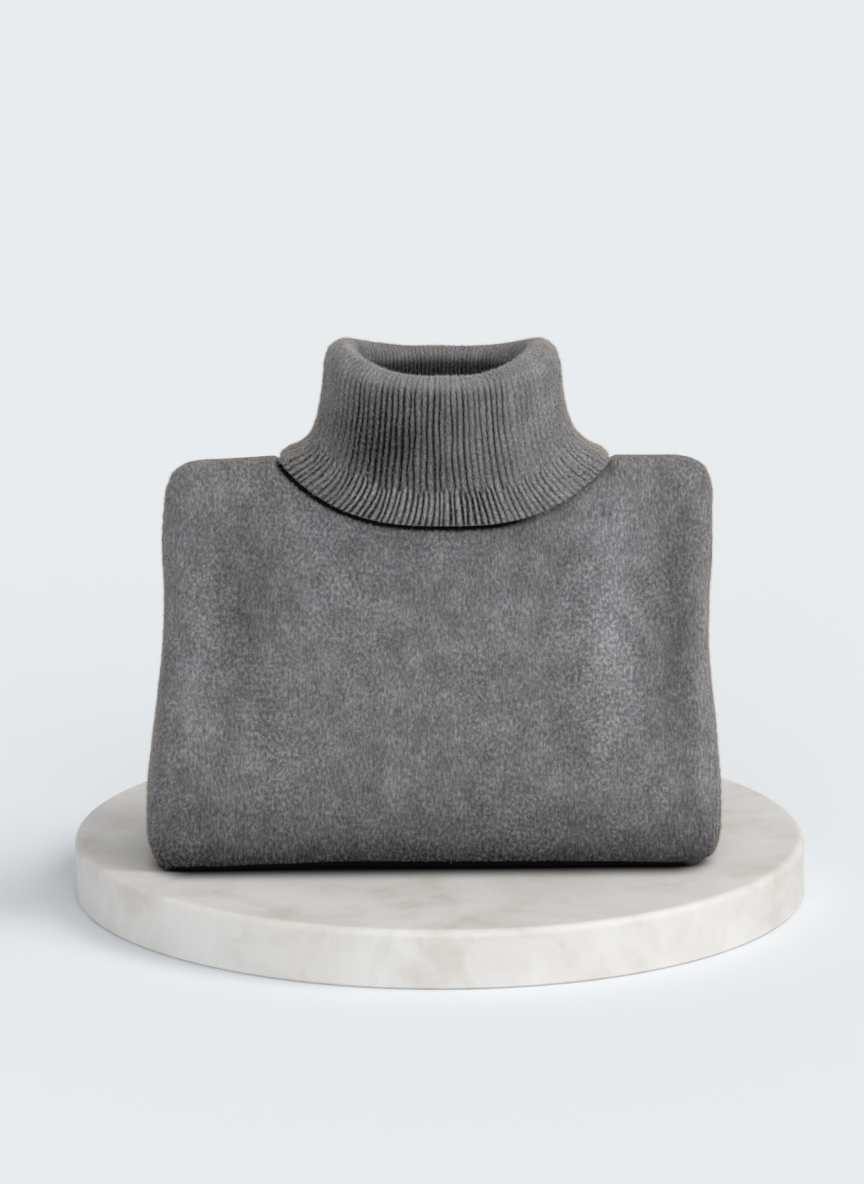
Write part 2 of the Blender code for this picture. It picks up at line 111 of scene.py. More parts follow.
# %% [markdown]
# ## The measurements of the fold
#
# These are the sizes that the frame was built to, so each shell lies on its solid. The outline
# says how far the fold reaches to each side at a height, which is what gives the body its slow
# waist and its fuller foot.

# %% Sizes of the cloth and the fold
WALL = 2.6
CLEARANCE = 0.3
FRONT_Y = -95.0
BACK_Y = -10.0
FRONT_HALF = 37.0
BACK_HALF = 33.0
FRONT_MIDDLE = FRONT_Y + FRONT_HALF / 2
GROOVE_MIDDLE = (FRONT_Y + FRONT_HALF + BACK_Y - BACK_HALF) / 2
SHOULDER_HEIGHT = 280.0
SHOULDER_ROUND = 30.0
SHOULDER_LINE = SHOULDER_HEIGHT - SHOULDER_ROUND
HEM_HEIGHT = 218.0
HEM_RIB = 52.0
BOTTOM_RISE = 24.0
BOTTOM_TUCK_FRONT = 5.0
BOTTOM_TUCK_BACK = 18.0
BELLY = 6.0
BELLY_TOP = 115.0
LIP_HEIGHT = 22.0
LIP_ROUND = 6.0
RETURN_ANGLE = 165.0
CORNER_RETURN_ANGLE = 97.0
LEFT_SHOULDER_DROP = 5.0
SLOPE_FROM = 100.0
SLOPE_TO = 180.0
SLOPE_LOW = 215.0
SLOPE_HIGH = 275.0
NECK_CENTRE = (0.0, -62.0, 280.0)
NECK_REACH = (92.0, 52.0, 26.0)
SEAM_GAP = 0.6
SEAM_ANGLE = 2.0

OUTLINE = table(
    "height left right",
    (0.0, 193.5, 186.0),
    (12.0, 196.3, 188.8),
    (24.0, 197.0, 189.6),
    (55.0, 196.2, 189.0),
    (97.0, 191.5, 185.5),
    (137.0, 187.0, 181.2),
    (178.0, 184.2, 180.2),
    (218.0, 185.0, 181.7),
    (250.0, 183.5, 181.5),
    (280.0, 183.5, 181.5),
)
SIDE_ROUNDS = table("height round", (10.0, 13.0), (60.0, 20.0), (200.0, 20.0), (245.0, 30.0))


def reach(side, height):
    """How far the fold reaches to one side (-1 left, 1 right) at a height."""
    left = read(OUTLINE, "height", "left", height)
    right = read(OUTLINE, "height", "right", height)
    return np.where(side < 0, left, right)


def side_round(height):
    """How wide the side fold's rounding is from the front, easing from row to row."""
    wide = SIDE_ROUNDS[0]["round"]
    for row, after in zip(SIDE_ROUNDS, SIDE_ROUNDS[1:]):
        wide = blend(wide, after["round"], ease(height, row["height"], after["height"]))
    return wide


def shoulder_drop(x, height):
    """The left shoulder slopes down a little towards its fold."""
    along = np.clip((-x - SLOPE_FROM) / (SLOPE_TO - SLOPE_FROM), 0.0, 1.0)
    return LEFT_SHOULDER_DROP * along * ease(height, SLOPE_LOW, SLOPE_HIGH)


# %% [markdown]
# ## How a sheet of knit is made
#
# Every cloth piece starts as one flat grid, as the knitted panel starts flat. Its points are then
# moved by a formula, and the panel keeps a UV map in metres along its own rows and columns of
# stitches, so that the pattern of the knit bends and stretches with the cloth. A Solidify modifier
# would give the grid its thickness at any time; it is the last step here, after the creases.

# %% Read and write a mesh's points
def values_of(items, name, width=1, kind=np.float32):
    """One property of every point, face or corner: so many numbers for each."""
    values = np.empty(len(items) * width, dtype=kind)
    items.foreach_get(name, values)
    return values.reshape(-1, width) if width > 1 else values


def points_of(mesh):
    return values_of(mesh.vertices, "co", 3).astype(float)


def normals_of(mesh):
    return values_of(mesh.vertex_normals, "vector", 3).astype(float)


def places_of(mesh):
    """What place turns into points: each point's x, y and height in millimetres."""
    x, y, z = (points_of(mesh) / MM).T
    return x, y, z - STAND_TOP


def set_points(mesh, points):
    mesh.vertices.foreach_set("co", np.ascontiguousarray(points, dtype=np.float32).ravel())
    mesh.update()


def put_attribute(mesh, name, values):
    layer = mesh.attributes.new(name=name, type="FLOAT", domain="POINT")
    layer.data.foreach_set("value", np.ascontiguousarray(values, dtype=np.float32))


def put_uv(mesh, u, v):
    """Keeps each corner's place on the cloth, in metres, as the UV map of the knit."""
    layer = mesh.uv_layers.new(name="knit")
    layer.data.foreach_set("uv", np.stack([u, v], axis=1).astype(np.float32).ravel())


def to_mesh(bm, name):
    mesh = bpy.data.meshes.new(name)
    bm.to_mesh(mesh)
    bm.free()
    return mesh


def weld(mesh):
    """Joins points that lie on each other."""
    bm = bmesh.new()
    bm.from_mesh(mesh)
    bmesh.ops.remove_doubles(bm, verts=bm.verts, dist=1e-6)
    bm.to_mesh(mesh)
    bm.free()


# %% The grid that becomes cloth
def knit_grid(name, columns, rows, point_at, flip=False, closed=False, tones=()):
    """A grid bent by point_at(across, down), with a UV map in metres along its stitches.

    Each of tones is a name and a function of the same two shares, kept as an attribute.
    """
    bm = bmesh.new()
    bmesh.ops.create_grid(bm, x_segments=columns, y_segments=rows, size=0.5)
    if flip:
        bmesh.ops.reverse_faces(bm, faces=bm.faces)
    mesh = to_mesh(bm, name)
    flat = points_of(mesh) + 0.5
    column = np.rint(flat[:, 0] * columns).astype(int)
    row = np.rint(flat[:, 1] * rows).astype(int)
    across, down = column / columns, row / rows
    bent = point_at(across, down)
    set_points(mesh, bent)
    for tone, value_at in tones:
        put_attribute(mesh, tone, value_at(across, down))

    net = np.empty((rows + 1, columns + 1, 3))
    net[row, column] = bent
    u = np.zeros((rows + 1, columns + 1))
    v = np.zeros((rows + 1, columns + 1))
    u[:, 1:] = np.cumsum(np.linalg.norm(np.diff(net, axis=1), axis=2), axis=1)
    v[1:] = np.cumsum(np.linalg.norm(np.diff(net, axis=0), axis=2), axis=0)
    if closed:
        u[:] = u.mean(axis=0)
    u -= u[:, columns // 2 : columns // 2 + 1]
    corner = values_of(mesh.loops, "vertex_index", kind=np.int32)
    at = row[corner], column[corner]
    put_uv(mesh, u[at], -v[at])
    if closed:
        weld(mesh)
    wide, long = np.ptp(u, axis=1).mean() * 1000, np.ptp(v, axis=0).mean() * 1000
    print(f"{name}: {columns} x {rows} grid, {wide:.0f} x {long:.0f} mm")
    return mesh


# %% Pieces and their walls
def add_object(name, data):
    made = bpy.data.objects.new(name, data)
    bpy.context.scene.collection.objects.link(made)
    return made


def add_piece(name, mesh, slot, *nodes):
    """Puts a mesh in the scene as a smooth piece that stands for its CAD nodes."""
    mesh.shade_smooth()
    piece = add_object(name, mesh)
    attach(piece, "root")
    if nodes:
        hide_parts(*nodes)
    return piece


def thicken(piece, thickness=WALL):
    """Gives a sheet its wall, inwards from the side that it was made as."""
    wall = piece.modifiers.new("wall", "SOLIDIFY")
    wall.thickness = thickness * MM
    wall.offset = -1.0
    wall.use_even_offset = False


def settle(piece):
    """Turns a piece's modifiers into plain mesh."""
    graph = bpy.context.evaluated_depsgraph_get()
    made = bpy.data.meshes.new_from_object(piece.evaluated_get(graph))
    old = piece.data
    piece.modifiers.clear()
    piece.data = made
    bpy.data.meshes.remove(old)
    made.name = piece.name


# %% [markdown]
# ## Soft creases
#
# Thick wool doesn't wrinkle sharply. It swells and sinks in wide, shallow waves, some of them long
# and some short. Each row of a table below is one such wave: where it is, how wide and tall it
# reaches, how it leans and how deep it goes, below zero for a trough. A little slow unevenness,
# made of a few sine waves, is added so that no stretch of cloth is perfectly plain.

# %% Creases and unevenness
def crease_height(creases, x, height):
    total = np.zeros_like(x)
    for row in creases:
        lean = math.radians(row["lean"])
        right = x - row["x"]
        up = height - row["height"]
        across = right * math.cos(lean) - up * math.sin(lean)
        along = right * math.sin(lean) + up * math.cos(lean)
        total += row["deep"] * np.exp(-((across / row["wide"]) ** 2) - (along / row["tall"]) ** 2)
    return total


def slow_waves(x, height, seed, longest, count=9):
    """Uneven swelling between about -1 and 1, from a few sine waves in seeded directions."""
    draw = np.random.default_rng(seed)
    total = np.zeros_like(x)
    for number in range(count):
        turn = draw.uniform(0, math.tau)
        length = longest * 0.8**number
        phase = draw.uniform(0, math.tau)
        along = x * math.cos(turn) + height * math.sin(turn)
        total += 0.8**number * np.sin(math.tau * along / length + phase)
    return total / 3


def push_out(mesh, amount):
    """Moves each point along its normal by an amount in millimetres."""
    set_points(mesh, points_of(mesh) + normals_of(mesh) * (amount * MM)[:, None])


# %% [markdown]
# ## The forms of the fold
#
# A half of the fold is a flat face with a rounded side fold. The upper half also rounds over the
# shoulder, and where the two roundings meet they would pinch to a pole like an orange's. So a
# square of angles is laid on a quarter of a ball instead, which keeps the knit's columns even.

# %% Points across the fold
FLAT_SHARE = 0.74


def across_face(across):
    """The side (-1, 1), the share of the flat width and the share of the edge's turn."""
    out = 2 * across - 1
    side = np.where(out < 0, -1.0, 1.0)
    flat = np.minimum(np.abs(out) / FLAT_SHARE, 1.0)
    turn = np.maximum(np.abs(out) - FLAT_SHARE, 0.0) / (1 - FLAT_SHARE)
    return side, flat, turn


def edge_factors(side_angle, top_angle):
    """Out to the side, up and out of the page, each 0 to 1, where a face rounds over its edges."""
    a = np.sin(side_angle)
    b = np.sin(top_angle)
    out = a * np.sqrt(1 - b * b / 2)
    up = b * np.sqrt(1 - a * a / 2)
    face = np.sqrt(np.maximum(1 - out * out - up * up, 0.0))
    return out, up, face


def upper_half(across, top_share, height, rear=False):
    """Points on the upper half of the fold: its front, or its rear where the back panel is."""
    side, flat, turn = across_face(across)
    last = np.radians(blend(RETURN_ANGLE, CORNER_RETURN_ANGLE, top_share))
    side_angle = turn * ((math.pi - last - math.radians(SEAM_ANGLE)) if rear else last)
    out, up, face = edge_factors(np.minimum(side_angle, math.pi / 2), top_share * math.pi / 2)
    past = side_angle > math.pi / 2
    out = np.where(past, out * np.sin(side_angle), out)
    up = np.where(past, up * np.sin(side_angle), up)
    face = np.where(past, np.cos(side_angle), face)
    rounding = side_round(height)
    x = side * ((reach(side, height) - rounding) * flat + rounding * out)
    z = height + SHOULDER_ROUND * up
    half = FRONT_HALF / 2
    return x, FRONT_MIDDLE + (half if rear else -half) * face, z - shoulder_drop(x, z)


# %% Lines down the fold
def fold_section(across, outer, inner):
    """Points on the rest of the fold, from its outer line round the side fold to its inner one."""
    side, flat, turn = across_face(across)
    angle = turn * math.radians(RETURN_ANGLE)
    rounding = side_round(outer[1])
    x = side * ((reach(side, outer[1]) - rounding) * flat + rounding * np.sin(angle))
    inward = (1 - np.cos(angle)) / 2
    height = blend(outer[1], inner[1], inward)
    return x, blend(outer[0], inner[0], inward), height - shoulder_drop(x, height)


def front_line(height):
    """The front's outer and inner lines: it bellies out above the bottom fold."""
    y = FRONT_Y - BELLY * (1 - ease(height, BOTTOM_RISE, BELLY_TOP))
    return (y, height), (FRONT_Y + FRONT_HALF, height)


def back_line(height):
    return (BACK_Y, height), (BACK_Y - BACK_HALF, height)


def corner_line(turn, face_y, tuck, inner_y, way):
    """Where a face turns under: a quarter of an ellipse outside, a small arc at the inner lip."""
    across = way * np.cos(turn)
    down = np.sin(turn)
    outer = (face_y - way * tuck + tuck * across, CLEARANCE + BOTTOM_RISE * (1 - down))
    lip = LIP_HEIGHT + LIP_ROUND * (1 - down)
    return outer, (inner_y - way * LIP_ROUND + LIP_ROUND * across, lip)


# %% [markdown]
# ## The front panel
#
# The front panel is the piece that a customer sees: it starts at the shoulder, covers the front,
# rolls under at the bottom fold and climbs the back as far as the hem rib. One grid follows that
# whole way, because the real panel is one piece of knitting, and the knit's columns then run on
# round the fold with no seam.

# %% The front panel's way round the fold
FRONT_STRETCHES = table(
    "name rows",
    ("over the shoulder", 28),
    ("below the collar", 16),
    ("down the front", 70),
    ("round the front of the bottom", 20),
    ("under the bottom", 20),
    ("round the back of the bottom", 13),
    ("up the back", 50),
)
FRONT_ROWS = sum(stretch["rows"] for stretch in FRONT_STRETCHES)
ACROSS = 184
BELOW_COLLAR = 228.0


def front_corner(turn):
    return corner_line(turn, FRONT_Y - BELLY, BOTTOM_TUCK_FRONT, FRONT_Y + FRONT_HALF, -1)


def back_corner(turn):
    return corner_line(turn, BACK_Y, BOTTOM_TUCK_BACK, BACK_Y - BACK_HALF, 1)


def pair(lines_a, lines_b, amount):
    return [tuple(blend(a, b, amount) for a, b in zip(*ends)) for ends in zip(lines_a, lines_b)]


def front_panel_point(across, down):
    low = CLEARANCE + BOTTOM_RISE
    top = HEM_HEIGHT - HEM_RIB - CLEARANCE
    made = np.zeros((len(across), 3))
    row = down * FRONT_ROWS
    start = 0
    for stretch in FRONT_STRETCHES:
        here = row >= start - 1e-6
        along = (row[here] - start) / stretch["rows"]
        turn = along * math.pi / 2
        if stretch["name"] == "over the shoulder":
            made[here] = place(*upper_half(across[here], np.maximum(1 - along, 0), SHOULDER_LINE))
            start += stretch["rows"]
            continue
        if stretch["name"] == "below the collar":
            lines = front_line(blend(SHOULDER_LINE, BELOW_COLLAR, along))
        elif stretch["name"] == "down the front":
            lines = front_line(blend(BELOW_COLLAR, low, along))
        elif stretch["name"] == "round the front of the bottom":
            lines = front_corner(turn)
        elif stretch["name"] == "under the bottom":
            lines = pair(front_corner(math.pi / 2), back_corner(math.pi / 2), along)
        elif stretch["name"] == "round the back of the bottom":
            lines = back_corner(math.pi / 2 - turn)
        else:
            lines = back_line(blend(low, top, along))
        made[here] = place(*fold_section(across[here], *lines))
        start += stretch["rows"]
    return made


# %% The neckline
def neck_cutter():
    """An egg-shaped space that opens the neckline."""
    bm = bmesh.new()
    bmesh.ops.create_uvsphere(bm, u_segments=96, v_segments=48, radius=1.0)
    mesh = to_mesh(bm, "neckline")
    set_points(mesh, place(*(points_of(mesh) * NECK_REACH + NECK_CENTRE).T))
    return add_object("neckline", mesh)


def open_neckline(piece):
    egg = neck_cutter()
    cut = piece.modifiers.new("neckline", "BOOLEAN")
    cut.operation = "DIFFERENCE"
    cut.object = egg
    settle(piece)
    bpy.data.objects.remove(egg, do_unlink=True)


# %% Creases of the front panel
FRONT_CREASES = table(
    "x height wide tall lean deep",
    (98.0, 150.0, 30.0, 100.0, -3.0, 2.4),
    (158.0, 150.0, 21.0, 92.0, -2.0, -3.0),
    (-139.0, 155.0, 17.0, 66.0, 4.0, -2.2),
    (-98.0, 172.0, 26.0, 48.0, 12.0, 1.3),
    (-24.0, 105.0, 30.0, 40.0, -20.0, 1.0),
    (40.0, 95.0, 40.0, 28.0, 10.0, -1.0),
    (-60.0, 60.0, 48.0, 22.0, 5.0, -1.1),
    (118.0, 58.0, 40.0, 24.0, -8.0, 1.0),
    (-150.0, 236.0, 24.0, 16.0, 30.0, -1.0),
    (140.0, 246.0, 26.0, 14.0, -24.0, -0.8),
)
LOWER_BACK_CREASES = table(
    "x height wide tall lean deep",
    (-92.0, 95.0, 24.0, 64.0, 6.0, -2.4),
    (20.0, 120.0, 34.0, 40.0, -14.0, 1.6),
    (118.0, 80.0, 20.0, 58.0, -8.0, -2.2),
    (-20.0, 52.0, 60.0, 18.0, 4.0, -1.3),
    (60.0, 140.0, 18.0, 30.0, 18.0, -1.2),
)
# Painted light and shade in soft patches on the front: above zero paler, below zero darker.
PAINTED_LIGHT_PATCHES = table(
    "x height wide tall lean deep",
    (116.0, 160.0, 17.0, 80.0, -2.0, 1.7),
    (180.0, 150.0, 8.0, 80.0, 0.0, 1.1),
    (-162.0, 52.0, 34.0, 20.0, 0.0, -0.5),
    (160.0, 165.0, 10.0, 70.0, 0.0, -0.8),
    (-132.0, 180.0, 24.0, 62.0, 6.0, -0.8),
    (-160.0, 134.0, 14.0, 50.0, 2.0, 0.85),
    (-60.0, 165.0, 34.0, 60.0, -24.0, 0.3),
    (52.0, 155.0, 32.0, 54.0, 16.0, 0.5),
    (-20.0, 60.0, 70.0, 20.0, 8.0, -0.1),
    (132.0, 235.0, 40.0, 22.0, -12.0, 0.25),
    (138.0, 38.0, 40.0, 36.0, 0.0, 0.2),
    (-182.0, 150.0, 8.0, 90.0, 0.0, -0.25),
)


def at_front(y):
    return 1 - ease(y, FRONT_MIDDLE - 10, FRONT_MIDDLE + 4)


def at_rear(y):
    return ease(y, GROOVE_MIDDLE + 12, BACK_Y - 4)


def panel_relief(mesh, seed):
    """The front and lower back's waves, fading out at the panel's edges and where it rests."""
    x, y, height = places_of(mesh)
    waves = at_front(y) * crease_height(FRONT_CREASES, x, height)
    waves += at_rear(y) * crease_height(LOWER_BACK_CREASES, x, height)
    waves += 0.6 * slow_waves(x + 2 * y, height, seed, 170.0)
    edge = np.maximum(ease(np.abs(x), 158.0, 178.0), ease(height, 262.0, 276.0))
    waves += 0.8 * edge * slow_waves(x + 1.7 * y, height + 0.9 * y, seed + 1, 15.0, count=4)
    waves += 0.45 * edge * slow_waves(x + 1.4 * y, height + y, seed + 2, 7.5, count=3)
    fade = ease(height, 6.0, 34.0)
    fade = fade * np.where(y > GROOVE_MIDDLE, 1 - ease(height, 150.0, 164.0), 1.0)
    fade = fade * (1 - 0.4 * ease(height, 255.0, 279.0))
    return waves * fade


# %% [markdown]
# Small moves of the panels' own points finish the form. The shoulder corners are a little squarer
# than a ball's, and the shoulders sink where the collar's flap lies on them. The foot stands a
# little askew: further out at the left, further in at the right, and rounder at its right corner.

# %% Shape the shoulders and the foot
CORNER_OUT = 3.4
CORNER_SIZE = 13.0
CORNER_X = 170.0
CORNER_HEIGHT = {-1: 267.0, 1: 270.0}
FLAP_SINK = 3.6
FLAP_CENTRE = 3.0


def shape_shoulders(mesh):
    x, y, height = places_of(mesh)
    for side in (-1, 1):
        away = np.hypot(side * x - CORNER_X, height - CORNER_HEIGHT[side]) / CORNER_SIZE
        push = CORNER_OUT * np.exp(-(away**2)) * (1 - ease(y, FRONT_MIDDLE + 2, FRONT_MIDDLE + 20))
        x = x + side * push * 0.8
        height = height + push * 0.6
    under = 1 - ease(np.abs(x - FLAP_CENTRE), 107.0, 114.0)
    sink = FLAP_SINK * under * ease(height, 250.0, 274.0)
    set_points(mesh, place(x, y, height - sink))


FOOT_OUT_LEFT = 9.0
FOOT_IN_RIGHT = 4.0
FOOT_CORNER = 6.0


def shape_foot(mesh):
    x, y, height = places_of(mesh)
    low = 1 - ease(height, 10.0, 130.0)
    front = 1 - ease(y, FRONT_MIDDLE - 16, FRONT_MIDDLE + 10)
    askew = FOOT_IN_RIGHT * ease(x, 30.0, 130.0) - FOOT_OUT_LEFT * ease(-x, 55.0, 185.0)
    corner = FOOT_CORNER * (1 - ease(height, 1.5, 8.5)) * ease(x, 120.0, 172.0)
    set_points(mesh, place(x - corner, y + low * front * askew, height))


# %% [markdown]
# Two tones are kept on the panel's points for the material to read. One is painted shade: a
# painted shadow under the collar's flap, a darkening towards the bottom fold and a near-black line
# along its foot. The other is painted light and shade: soft patches made paler or darker along the
# creases and the edges, with a slow random unevenness of tone.

# %% Tones of the front panel
FLAP_DROP = 2.9
FLAP_SHADE = 1.3
EDGE_POINTS = 420
FOLD_SHADE = 0.64
FOLD_REACH = 62.0
FOOT_SHADE = 0.18
LINE_HEIGHT = 4.2
LINE_SOFT = 1.3
UNEVEN_TONE = 0.24


def under_flap(x, height):
    """Painted shadow: how close a place on the front is to the line where the flap's edge covers it,
    0 to 1.
    """
    share = np.linspace(0.24, 0.76, EDGE_POINTS)
    stop = np.full_like(share, EDGE_STOP)
    edge_x, _, edge_height = collar_surface(spaced_around(share, stop), stop)
    edge_height = edge_height - FLAP_DROP
    near = (np.abs(x) < 125.0) & (height > 215.0)
    close = np.zeros_like(x)
    gap = np.full(near.sum(), np.inf)
    for right, up in zip(edge_x, edge_height):
        gap = np.minimum(gap, np.hypot(x[near] - right, height[near] - up))
    inside = height[near] > np.interp(x[near], edge_x, edge_height, left=999.0, right=999.0)
    close[near] = np.where(inside, 1.0, 1 - ease(gap, 0.9, 4.6))
    return close * (1 - 0.92 * ease(x, 36.0, 82.0))


def tone_front_panel(mesh):
    x, y, height = places_of(mesh)
    front = at_front(y)
    # Painted shade: darker towards the bottom fold, less at the right, and a near-black line painted
    # along the foot.
    fold = FOLD_SHADE * np.clip(1 - height / FOLD_REACH, 0, 1) ** 1.15
    fold += FOOT_SHADE * (1 - ease(height, 6.0, 28.0))
    fold *= 1 - 0.12 * ease(x, 40.0, 150.0)
    line = LINE_HEIGHT - 1.3 * ease(np.abs(x), 60.0, 150.0)
    ends = (1 - ease(x, 160.0, 170.0)) * (1 - ease(-x, 176.0, 184.0))
    fold += ends * (1 - ease(height, line, line + LINE_SOFT))
    # Painted shadow under the flap's edge, or the fold's painted shade where that is darker.
    painted_shade = np.maximum(FLAP_SHADE * front * under_flap(x, height), fold)
    # Painted light and shade in soft patches, and a slow random unevenness of tone.
    painted_light_and_tone = front * crease_height(PAINTED_LIGHT_PATCHES, x, height)
    painted_light_and_tone += UNEVEN_TONE * slow_waves(x + y, height, 41, 90.0)
    put_attribute(mesh, "painted_shade", painted_shade)
    put_attribute(mesh, "painted_light_and_tone", painted_light_and_tone)


def make_front_panel():
    mesh = knit_grid("front_panel_knit", ACROSS, FRONT_ROWS, front_panel_point, flip=True)
    push_out(mesh, panel_relief(mesh, seed=3))
    shape_shoulders(mesh)
    shape_foot(mesh)
    piece = add_piece("front_panel_knit", mesh, "wool_jersey", "front_panel")
    thicken(piece)
    open_neckline(piece)
    tone_front_panel(piece.data)
    return piece


# %% [markdown]
# ## The back panel
#
# Behind the shoulder seam the back panel drops down the rear of the upper half, and behind the
# collar it bulges back over the lower half. Below that it goes between the folded halves, where
# nothing shows.

# %% Make the back panel
BACK_COLUMNS = 140
BACK_ROWS = 44
BACK_PANEL_BOTTOM = 214.0
BACK_PANEL_TURN = 0.4
BULGE_WHOLE = 55.0
BULGE_GONE = 128.0
NECK_BULGE = table(
    "down y height",
    (0.0, -74.0, 280.0),
    (0.2, -40.0, 272.0),
    (0.4, -15.0, 262.0),
    (0.55, -9.0, 250.0),
    (0.7, -20.0, 237.0),
    (0.85, -42.0, 226.5),
    (1.0, -55.5, 214.0),
)


def back_panel_point(across, down):
    top_share = np.maximum(1 - down / BACK_PANEL_TURN, 0.0)
    below = np.maximum(down - BACK_PANEL_TURN, 0.0) / (1 - BACK_PANEL_TURN)
    height = blend(SHOULDER_LINE, BACK_PANEL_BOTTOM, below)
    x, y, z = upper_half(across, top_share, height, rear=True)
    y = np.maximum(y, FRONT_MIDDLE + SEAM_GAP)
    behind = 1 - ease(np.abs(x), BULGE_WHOLE, BULGE_GONE)
    bulge_y = read(NECK_BULGE, "down", "y", down)
    bulge_z = read(NECK_BULGE, "down", "height", down)
    return place(x, blend(y, bulge_y, behind), blend(z, bulge_z, behind))


def make_back_panel():
    mesh = knit_grid("back_panel_knit", BACK_COLUMNS, BACK_ROWS, back_panel_point)
    x, y, height = places_of(mesh)
    fade = ease(height, 216.0, 232.0) * (1 - ease(height, 262.0, 279.0))
    push_out(mesh, 0.6 * slow_waves(x, height + y, 5, 120.0) * fade)
    shape_shoulders(mesh)
    piece = add_piece("back_panel_knit", mesh, "wool_jersey", "back_panel")
    thicken(piece)
    open_neckline(piece)
    return piece


back_panel = make_back_panel()

# %% [markdown]
# ## The sleeves
#
# Each sleeve is folded behind the body, so all that shows is its folded edge in the groove between
# the two halves. It is a strip with a round nose that runs in along the top, down the side and in
# along the bottom.

# %% Make the sleeves
SLEEVE_COLUMNS = 110
SLEEVE_ROWS = 22
SLEEVE_WALL = 2.3
SLEEVE_TOP = 209.0
SLEEVE_BOTTOM = 25.0
SLEEVE_HALF_THICKNESS = 5.9
SLEEVE_REACH = 12.0
SLEEVE_IN = 5.0
SLEEVE_CORNER = 19.0
SLEEVE_LENGTH_IN = 8.0


def sleeve_path(side, along):
    """The folded edge's place from the front, and the way that it faces."""
    corner = SLEEVE_CORNER
    high = SLEEVE_TOP - corner
    low = SLEEVE_BOTTOM + corner
    quarter = corner * math.pi / 2
    ends = np.cumsum([SLEEVE_LENGTH_IN, quarter, high - low, quarter, SLEEVE_LENGTH_IN])
    run = along * ends[-1]
    top_turn = np.clip((run - ends[0]) / corner, 0, math.pi / 2)
    bottom_turn = np.clip((run - ends[2]) / corner, 0, math.pi / 2)
    turn = top_turn + bottom_turn
    height = np.where(run < ends[1], high, np.where(run < ends[2], high - (run - ends[1]), low))
    inwards = np.maximum(ends[0] - run, 0) + np.maximum(run - ends[3], 0)
    out_x = np.sin(turn)
    out_z = np.cos(turn)
    x = reach(side, height) - SLEEVE_IN - corner * (1 - out_x) - inwards
    return x, height + corner * out_z, out_x, out_z


def make_sleeve(name, side, node, seed):
    def point(along, over):
        x, height, out_x, out_z = sleeve_path(side, along)
        angle = (over - 0.5) * math.pi
        deep = SLEEVE_REACH * (1 - np.cos(angle))
        y = GROOVE_MIDDLE + SLEEVE_HALF_THICKNESS * np.sin(angle)
        return place(side * (x - out_x * deep), y, height - out_z * deep)

    mesh = knit_grid(name, SLEEVE_COLUMNS, SLEEVE_ROWS, point, flip=side < 0)
    x, y, z = (points_of(mesh) / MM).T
    push_out(mesh, 0.3 * slow_waves(z, y * 3, seed, 60.0) - 0.2)
    piece = add_piece(name, mesh, "wool_jersey", node)
    thicken(piece, SLEEVE_WALL)
    return piece


sleeve_left = make_sleeve("sleeve_left_knit", -1, "sleeve_left", seed=11)
sleeve_right = make_sleeve("sleeve_right_knit", 1, "sleeve_right", seed=12)

# %% [markdown]
# ## Ribbed knit
#
# Rib is knitted with columns of plain and purl stitches in turn. The plain columns stand up as
# round ridges and the purl columns sink between them as narrow grooves, so a band of rib pulls in
# and grips. At this size the ridges are real shape, so they are modelled: each rib has its own few
# columns of the grid, and the columns themselves sway with the rib. Two things keep it from
# looking machined. Every groove sways a little on its own, and every groove has its own depth.

# %% A field of ribs
class Ribs:
    """Where each groove sways and how deep it is, for a band of so many ribs."""

    def __init__(self, count, seed, drift):
        draw = np.random.default_rng(seed)
        self.count = count
        self.depth = draw.uniform(0.55, 1.12, count)
        self.aside = draw.uniform(-drift, drift, count)
        self.slow = draw.uniform(0, math.tau, count)
        self.length = draw.uniform(26.0, 70.0, count)

    def sway(self, number, along):
        """How far a groove is from its even place, in ribs."""
        number = number % self.count
        wave = np.sin(math.tau * along / self.length[number] + self.slow[number])
        return self.aside[number] * (0.5 + 0.7 * wave)

    def read(self, ribs_along, along, narrow=3.0):
        """The sway, and the share of the groove's full depth, from the rib's round profile."""
        number = np.floor(ribs_along + 1e-6).astype(int)
        within = ribs_along - number
        turn = math.tau * ribs_along * round(self.count / 14) / self.count
        patch = 0.86 + 0.14 * np.sin(turn + along / 9.0) * np.sin(along / 13.0 + 1.0)
        sway = blend(self.sway(number, along), self.sway(number + 1, along), within)
        first = self.depth[number % self.count]
        second = self.depth[(number + 1) % self.count]
        return sway, patch * blend(first, second, within) * np.abs(2 * within - 1) ** narrow


# %% [markdown]
# ## The roll collar
#
# The collar is one tube of rib, twice the height that shows. It stands up from the neck seam,
# rolls over at the top in a soft thick curve and comes down outside as a flap, which kinks where
# it meets the shoulders and flares out over them. The table walks along that way from the neck
# seam to the flap's edge, and gives the middle of the cloth at the front, the sides and the back.
# Between its rows a smooth curve is read, so a short table makes a smooth roll.

